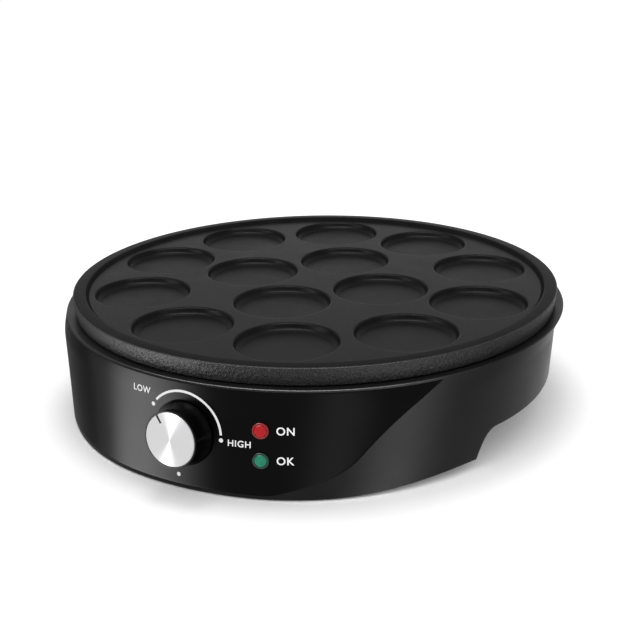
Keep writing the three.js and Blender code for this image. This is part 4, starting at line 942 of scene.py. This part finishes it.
def map_round(mesh, spot, scale):
    """UV map of a turned piece: across is the turn round the axis, up is the radius over a scale."""
    place, right, up, _ = spot
    layer = mesh.uv_layers.new(name="round")
    points = np.zeros(len(mesh.vertices) * 3, np.float32)
    mesh.vertices.foreach_get("co", points)
    local = points.reshape(-1, 3) - np.array(place)
    across, upward = local @ np.array(right), local @ np.array(up)
    corners = np.zeros(len(mesh.loops), np.int32)
    mesh.loops.foreach_get("vertex_index", corners)
    turn, radius = np.arctan2(upward, across)[corners], np.hypot(across, upward)[corners]
    totals = np.zeros(len(mesh.polygons), np.int32)
    mesh.polygons.foreach_get("loop_total", totals)
    owner = np.repeat(np.arange(len(totals)), totals)
    middle = np.zeros((len(totals), 2))
    np.add.at(middle, owner, circle(turn) * radius[:, None])
    centre_turn = np.arctan2(middle[:, 1], middle[:, 0])[owner]
    apart = (turn - centre_turn + np.pi) % TURN - np.pi
    apart[radius < 1e-7] = 0
    uv = np.stack([(centre_turn + apart) / TURN, radius / scale], axis=-1)
    layer.data.foreach_set("uv", uv.astype(np.float32).ravel())


class MAKER_OT_knob(bpy.types.Operator):
    """Gloss knob with its spun metal cap"""

    bl_idname = "maker.knob"
    bl_label = "Knob"

    def execute(self, context):
        knob, spot = context.scene.maker_knob, knob_frame()
        body = in_frame(turned(knob_body_profile(knob), 128), spot)
        bar = in_frame(spin(pointer_bar(knob), knob.pointer), spot)
        mesh = make_mesh("knob_skin", [body, bar], 40)
        gloss = [finish(context, "gloss_knob")]
        add_piece("knob_shell", mesh, gloss, "knob", ["knob_body"])
        mesh = make_mesh("cap_skin", [in_frame(spin(knob_cap_surface(knob), knob.pointer), spot)], 20)
        map_round(mesh, spot, knob.cap)
        add_piece("cap_disc", mesh, [spun_finish(context)], "knob", ["knob_cap"])
        return {"FINISHED"}


def lamp_profiles(lamp):
    """Radius and height of the collar and of the lens, from the wall's face outwards."""
    low, high = lamp.lift, lamp.lift + lamp.collar_height
    seat = lamp.lens + 0.1 * MM
    corners = [(seat, low), (lamp.collar, low), (lamp.collar, high), (seat, high), (seat, low)]
    collar = eased(corners, [0, 0.1 * MM, 0.5 * MM, 0.2 * MM, 0], 6)
    dome = circle(np.linspace(0, np.pi / 2, 10)) * [lamp.lens, lamp.dome]
    dome = dome + [0, low + lamp.collar_height * 0.8]
    stem = [(radius, -lamp.stem) for radius in (0, lamp.lens - lamp.skin, lamp.lens)]
    return collar, np.concatenate([stem, dome])


class MAKER_OT_lamps(bpy.types.Operator):
    """Two pilot lamps with their collars"""

    bl_idname = "maker.lamps"
    bl_label = "Pilot lamps"

    def execute(self, context):
        lamp, wall = context.scene.maker_lamps, context.scene.maker_wall
        collar, lens = lamp_profiles(lamp)
        for name, height, slot in (
            ("power_lamp", lamp.upper, "red_lens"),
            ("ready_lamp", lamp.lower, "green_lens"),
        ):
            spot = wall_frame(lamp.turn, height, wall)
            for part, profile, look, node in (
                ("dome", lens, "tint", "lens"),
                ("collar", collar, "collar_tint", "bezel"),
            ):
                mesh = make_mesh(f"{name}_{part}", [in_frame(turned(profile, 64), spot)], 40)
                tinted = [finish(context, f"{name}_{look}")]
                add_piece(f"{name}_{part}", mesh, tinted, ROOT, [f"{name}_{node}"])
        return {"FINISHED"}


def on_wall(surface, turn, height, wall):
    """A flat surface laid on the wall: x runs along its arc, y up it, and z stands out from it."""
    (x, y, z), cells = surface[0].T, surface[1]
    turns = turn + x / wall_radius(np.full(len(x), turn), height + y, wall)
    return around(wall_radius(turns, height + y, wall) + z, turns, height + y), cells


def scale_arc(marks):
    """Band of the scale: its two edges are circles of the scale's radius plus and less half its width."""
    turns = np.linspace(marks.scale_start, marks.scale_end, 90)
    across = (marks.scale_radius + marks.scale_width * np.array([-0.5, 0, 0.5]))[:, None]
    x, y = across * np.sin(turns), across * np.cos(turns)
    return slab(points_of(x, y, marks.thick), points_of(x, y, -marks.thick))


# A capital's share of the letters' size, how much heavier its strokes are made, and the space between.
CAPITAL, HEAVIER, SPACING = 0.69, 0.018, 1.12


def word(text, height, thick):
    """A word as a closed flat mesh at the origin, from the built-in typeface, its capitals of a height.

    It is written with capitals of one metre and brought down. Its faces are cut small to follow the wall.
    """
    curve = bpy.data.curves.new(text, "FONT")
    curve.body = text
    curve.size = 1 / CAPITAL
    curve.offset = HEAVIER
    curve.extrude = thick / height
    curve.space_character = SPACING
    curve.resolution_u = 6
    writer = bpy.data.objects.new(text, curve)
    bpy.context.scene.collection.objects.link(writer)
    bpy.context.view_layer.update()
    made = bpy.data.meshes.new_from_object(writer)
    work = bmesh.new()
    work.from_mesh(made)
    bmesh.ops.remove_doubles(work, verts=work.verts, dist=WELD / height)
    bmesh.ops.triangulate(work, faces=work.faces)
    bmesh.ops.subdivide_edges(work, edges=work.edges, cuts=3, use_grid_fill=True)
    work.to_mesh(made)
    work.free()
    points = np.zeros(len(made.vertices) * 3)
    made.vertices.foreach_get("co", points)
    faces = np.array([tuple(face.vertices) for face in made.polygons])
    bpy.data.objects.remove(writer)
    bpy.data.meshes.remove(made)
    return points.reshape(-1, 3) * height, faces


# Each word's text and height among the settings, the knob or lamp whose middle it is placed from, and its
# start from there in millimetres, to the right and up.
WORDS = (
    ("low_word", "dial_height", "knob", -33.5, 17.0),
    ("high_word", "dial_height", "knob", 25.5, -3.2),
    ("upper_word", "lamp_height", "upper", 8, -2),
    ("lower_word", "lamp_height", "lower", 8, -2),
)


class MAKER_OT_marks(bpy.types.Operator):
    """Printed scale, dots and words"""

    bl_idname = "maker.marks"
    bl_label = "Printed marks"

    def execute(self, context):
        marks, wall, lamp = (getattr(context.scene, f"maker_{key}") for key in ("marks", "wall", "lamps"))
        white = [finish(context, "print_white")]
        centre = KNOB_JOINT["pos_m"][2]
        corners = [(0, marks.thick), (marks.dot, marks.thick), (marks.dot, -marks.thick), (0, -marks.thick)]
        disc = turned(eased(corners, [0, marks.thick / 2, 0, 0]), 32)
        flat = [moved(scale_arc(marks), marks.shift, 0)]
        for turn, far in (
            (marks.off_turn, marks.off_radius),
            (marks.low_turn, marks.scale_radius),
            (marks.high_turn, marks.scale_radius),
        ):
            flat.append(moved(disc, far * math.sin(turn) + marks.shift, far * math.cos(turn)))
        mesh = make_mesh("dial_scale", [on_wall(surface, 0.0, centre, wall) for surface in flat], 60)
        add_piece("dial_scale", mesh, white, ROOT)
        for name, size, base, x, y in WORDS:
            turn, height = (0.0, centre) if base == "knob" else (lamp.turn, getattr(lamp, base))
            written = moved(word(getattr(marks, name), getattr(marks, size), marks.thick), x * MM, y * MM)
            mesh = make_mesh(name, [on_wall(written, turn, height, wall)], None)
            add_piece(name, mesh, white, ROOT)
        return {"FINISHED"}


class MAKER_OT_feet(bpy.types.Operator):
    """Rubber feet"""

    bl_idname = "maker.feet"
    bl_label = "Feet"

    def execute(self, context):
        foot = context.scene.maker_feet
        corners = [(0, 0), (foot.radius, 0), (foot.radius, foot.height), (foot.stem, foot.height)]
        corners += [(foot.stem, foot.stem_height), (0, foot.stem_height)]
        surface = turned(eased(corners, [0, 0.9 * MM, 0.4 * MM, 0, 0.4 * MM, 0]), 64)
        black = [finish(context, "rubber_black")]
        for number in range(1, 5):
            low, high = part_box(f"rubber_foot_{number}")
            middle = (low + high) / 2
            mesh = make_mesh(f"foot_{number}", [moved(surface, middle.x, middle.y, low.z)], 40)
            add_piece(f"foot_{number}", mesh, black, ROOT, [f"rubber_foot_{number}"])
        return {"FINISHED"}


# Looks of the solids that show as they are, by their names without a number.
NODE_LOOKS = {
    "zinced_steel": (
        "heating_element", "element_clamp", "cold_pin", "clamp_screw", "long_screw", "cover_screw",
        "bracket_screw", "spindle", "thermostat_bracket", "bimetal_strip", "fuse_strap", "fuse_screw",
        "earth_screw",
    ),
    "bright_pan": ("heat_reflector",),
    "brass": ("spindle_bush", "contact_arm", "fixed_blade", "arm_tab", "blade_tab", "earth_tag"),
    "ceramic": ("pin_bush", "ceramic_stack", "push_pin", "terminal_block", "thermal_fuse"),
    "bulb_glass": ("power_lamp_bulb", "ready_lamp_bulb"),
    "lead_cover": ("neutral_lead", "element_lead", "fuse_lead", "live_lead", "earth_lead"),
    "satin_cover": ("base_cover",),
    "gland_rubber": ("cord_gland",),
}  # fmt: skip


class MAKER_OT_works(bpy.types.Operator):
    """Finishes of the cover, the gland and the works inside"""

    bl_idname = "maker.works"
    bl_label = "Cover and works"

    def execute(self, context):
        for look, kinds in NODE_LOOKS.items():
            material = finish(context, look)
            for name, node in frame["nodes"].items():
                if name.rstrip("_0123456789") in kinds:
                    node.data.materials.clear()
                    node.data.materials.append(material)
        return {"FINISHED"}


# Lamps: turn from the front and rise above the floor in degrees, then distance, width and height in metres,
# and radiance. The strips show only in the gloss of the pieces that are named with them.
KEY = (-150, 77, 1.6, 0.6, 0.6, 7)
SKINS = ("panel", "plate", "knob_shell")
SMALL = ("cap_disc", "power_lamp_dome", "power_lamp_collar", "ready_lamp_dome", "ready_lamp_collar")
STRIPS = {
    "left_strip": (SKINS, -43, -16, 1.1, 1.08, 1.5, 19),
    "front_strip": (SKINS, 36, -16, 1.1, 0.65, 1.5, 2.6),
    "right_strip": (("housing", "plate"), 62, -16, 1.1, 0.7, 1.5, 10),
    "edge_strip": (("housing",), 5, 55, 1.3, 4.2, 0.6, 88),
    "rim_strip": (("plate",), 15, 55, 1.3, 3.2, 0.6, 32),
    "face_strip": (SMALL, -38, 55, 1.1, 1.3, 0.8, 10),
}
CARD_DISTANCE, CARD_TURNS, CARD_RISES = 1.3, (-146, -81), (-27, 6)


def area_lamp(name, centre, turn, rise, away, width, height, radiance):
    """A soft lamp that shines at a centre. Its power is the radiance times pi and its area."""
    light = bpy.data.lights.new(name, "AREA")
    light.shape = "RECTANGLE"
    light.size, light.size_y = width, height
    light.energy = radiance * math.pi * width * height
    lamp = bpy.data.objects.new(name, light)
    turn, rise = math.radians(turn), math.radians(rise)
    aim = Vector((math.sin(turn) * math.cos(rise), -math.cos(turn) * math.cos(rise), math.sin(rise)))
    lamp.location = centre + aim * away
    lamp.rotation_euler = aim.to_track_quat("Z", "Y").to_euler()
    lamp.visible_camera = False
    bpy.context.scene.collection.objects.link(lamp)
    return lamp


def soft_strip(name, centre, pieces, *sizes):
    """A lamp seen only in the gloss of some pieces, that fades to both sides.

    Its strength across is the square of four times the share times what is left.
    """
    lamp = area_lamp(name, centre, *sizes)
    lamp.visible_diffuse = False
    group = bpy.data.collections.new(name)
    for piece in pieces:
        group.objects.link(bpy.data.objects[piece])
    lamp.light_linking.receiver_collection = group
    lamp.data.use_nodes = True
    tree = lamp.data.node_tree
    across = add_node(tree, "NewGeometry", {}, "Parametric")
    share = add_node(tree, "SeparateXYZ", {"Vector": across}, "X")
    both = worked(tree, "MULTIPLY", share, worked(tree, "SUBTRACT", 1.0, share))
    fade = worked(tree, "POWER", worked(tree, "MULTIPLY", both, 4.0), 2.0)
    feed(tree, tree.nodes["Emission"], {"Strength": fade})


def seen_directly(tree):
    """1 for rays from the camera and from mirror or clear surfaces, 0 for the rest."""
    path = tree.nodes.new("ShaderNodeLightPath")
    camera, gloss, clear = (path.outputs[f"Is {kind} Ray"] for kind in ("Camera", "Glossy", "Transmission"))
    return worked(tree, "MAXIMUM", worked(tree, "MAXIMUM", camera, gloss), clear)


def add_stage_piece(name, surface, tone):
    """A plain dull surface of the stage: its object, and its material's nodes and shader."""
    mesh = bpy.data.meshes.new(name)
    mesh.from_pydata(surface[0], [], surface[1])
    material, tree, shader = base_finish(f"{name}_tone", (tone, tone, tone), 0.9, 0.0, {})
    mesh.materials.append(material)
    piece = bpy.data.objects.new(name, mesh)
    bpy.context.scene.collection.objects.link(piece)
    return piece, tree, shader


class MAKER_OT_stage(bpy.types.Operator):
    """Camera, soft lamps, pale floor and surroundings"""

    bl_idname = "maker.stage"
    bl_label = "Stage"

    def execute(self, context):
        scene, stage = context.scene, context.scene.maker_stage
        scene.view_settings.view_transform = "Standard"
        self.add_camera(scene, stage)
        self.add_surroundings(scene, stage)
        self.add_floor(stage)
        centre = Vector((AXIS.x, AXIS.y, stage.aim))
        area_lamp("key", centre, *KEY)
        for name, (pieces, *sizes) in STRIPS.items():
            soft_strip(name, centre, pieces, *sizes)
        self.add_card(stage, centre)
        return {"FINISHED"}

    def add_camera(self, scene, stage):
        """Camera at a distance and height angle from the rim's middle, aimed by pitch, yaw and roll."""
        heading = Matrix.Rotation(stage.heading, 3, "Z")
        middle = Vector((AXIS.x, AXIS.y, scene.maker_plate.top))
        back = Vector((0, -math.cos(stage.elevation), math.sin(stage.elevation)))
        level_ahead = Vector((math.sin(stage.yaw), math.cos(stage.yaw), 0))
        ahead = level_ahead * math.cos(stage.pitch) - Vector((0, 0, math.sin(stage.pitch)))
        right = ahead.cross(Vector((0, 0, 1))).normalized()
        up = right.cross(ahead)
        sine, cosine = math.sin(stage.roll), math.cos(stage.roll)
        right, up = right * cosine + up * sine, up * cosine - right * sine
        turn = Matrix((heading @ right, heading @ up, heading @ -ahead)).transposed()
        camera = bpy.data.objects.new("camera", bpy.data.cameras.new("camera"))
        camera.matrix_world = Matrix.Translation(middle + heading @ back * stage.distance) @ turn.to_4x4()
        camera.data.lens = stage.lens
        camera.data.sensor_width = 36
        camera.data.clip_end = 100
        scene.collection.objects.link(camera)
        scene.camera = camera

    def add_surroundings(self, scene, stage):
        """White for what is seen directly, a plain level for the light on plain surfaces."""
        world = bpy.data.worlds.new("surroundings")
        world.use_nodes = True
        tree = world.node_tree
        strength = {"Value": seen_directly(tree), "To Min": stage.ambient, "To Max": 1.0}
        strength = add_node(tree, "MapRange", strength)
        feed(tree, tree.nodes["Background"], {"Strength": strength, "Color": (1, 1, 1, 1)})
        scene.world = world

    def add_card(self, stage, centre):
        """Dark card left of the object, seen only in gloss, that keeps the wall's left end dark."""
        turns = np.radians(np.linspace(*CARD_TURNS, 9))
        heights = centre.z + CARD_DISTANCE * np.tan(np.radians(CARD_RISES))[:, None]
        surface = sheet(around(CARD_DISTANCE, turns, heights))
        card, _, _ = add_stage_piece("dark_card", surface, stage.card_tone)
        card.visible_camera = card.visible_diffuse = False
        card.visible_transmission = card.visible_shadow = False

    def add_floor(self, stage):
        """Pale floor that keeps the shadows: plain, with a little light of its own where seen directly."""
        floor = turned([(0, 0), (1, 0), (stage.floor_size, 0)], 64)
        floor, tree, shader = add_stage_piece("floor", floor, stage.floor_tone)
        glow = worked(tree, "MULTIPLY", seen_directly(tree), stage.glow)
        feed(tree, shader, {"Emission Color": (1, 1, 1, 1), "Emission Strength": glow})
        floor.visible_glossy = False


STEPS = (
    MAKER_OT_plate,
    MAKER_OT_housing,
    MAKER_OT_panel,
    MAKER_OT_knob,
    MAKER_OT_lamps,
    MAKER_OT_marks,
    MAKER_OT_feet,
    MAKER_OT_works,
    MAKER_OT_stage,
)


class MAKER_PT_pieces(bpy.types.Panel):
    """Lists the steps that build the looks"""

    bl_idname = "MAKER_PT_pieces"
    bl_label = "Small pancake maker"
    bl_space_type = "VIEW_3D"
    bl_region_type = "UI"
    bl_category = "Maker"

    def draw(self, context):
        for step in STEPS:
            self.layout.operator(step.bl_idname)


def register():
    for group in SETTINGS.values():
        bpy.utils.register_class(group)
    for key, group in SETTINGS.items():
        setattr(bpy.types.Scene, key, PointerProperty(type=group))
    for kind in (*STEPS, MAKER_PT_pieces):
        bpy.utils.register_class(kind)


def unregister():
    for kind in reversed((*STEPS, MAKER_PT_pieces)):
        bpy.utils.unregister_class(kind)
    for key in SETTINGS:
        delattr(bpy.types.Scene, key)
    for group in reversed(SETTINGS.values()):
        bpy.utils.unregister_class(group)


def main():
    register()
    for step in STEPS:
        name = step.bl_idname.split(".")[1]
        getattr(bpy.ops.maker, name)()


if __name__ == "__main__":
    main()
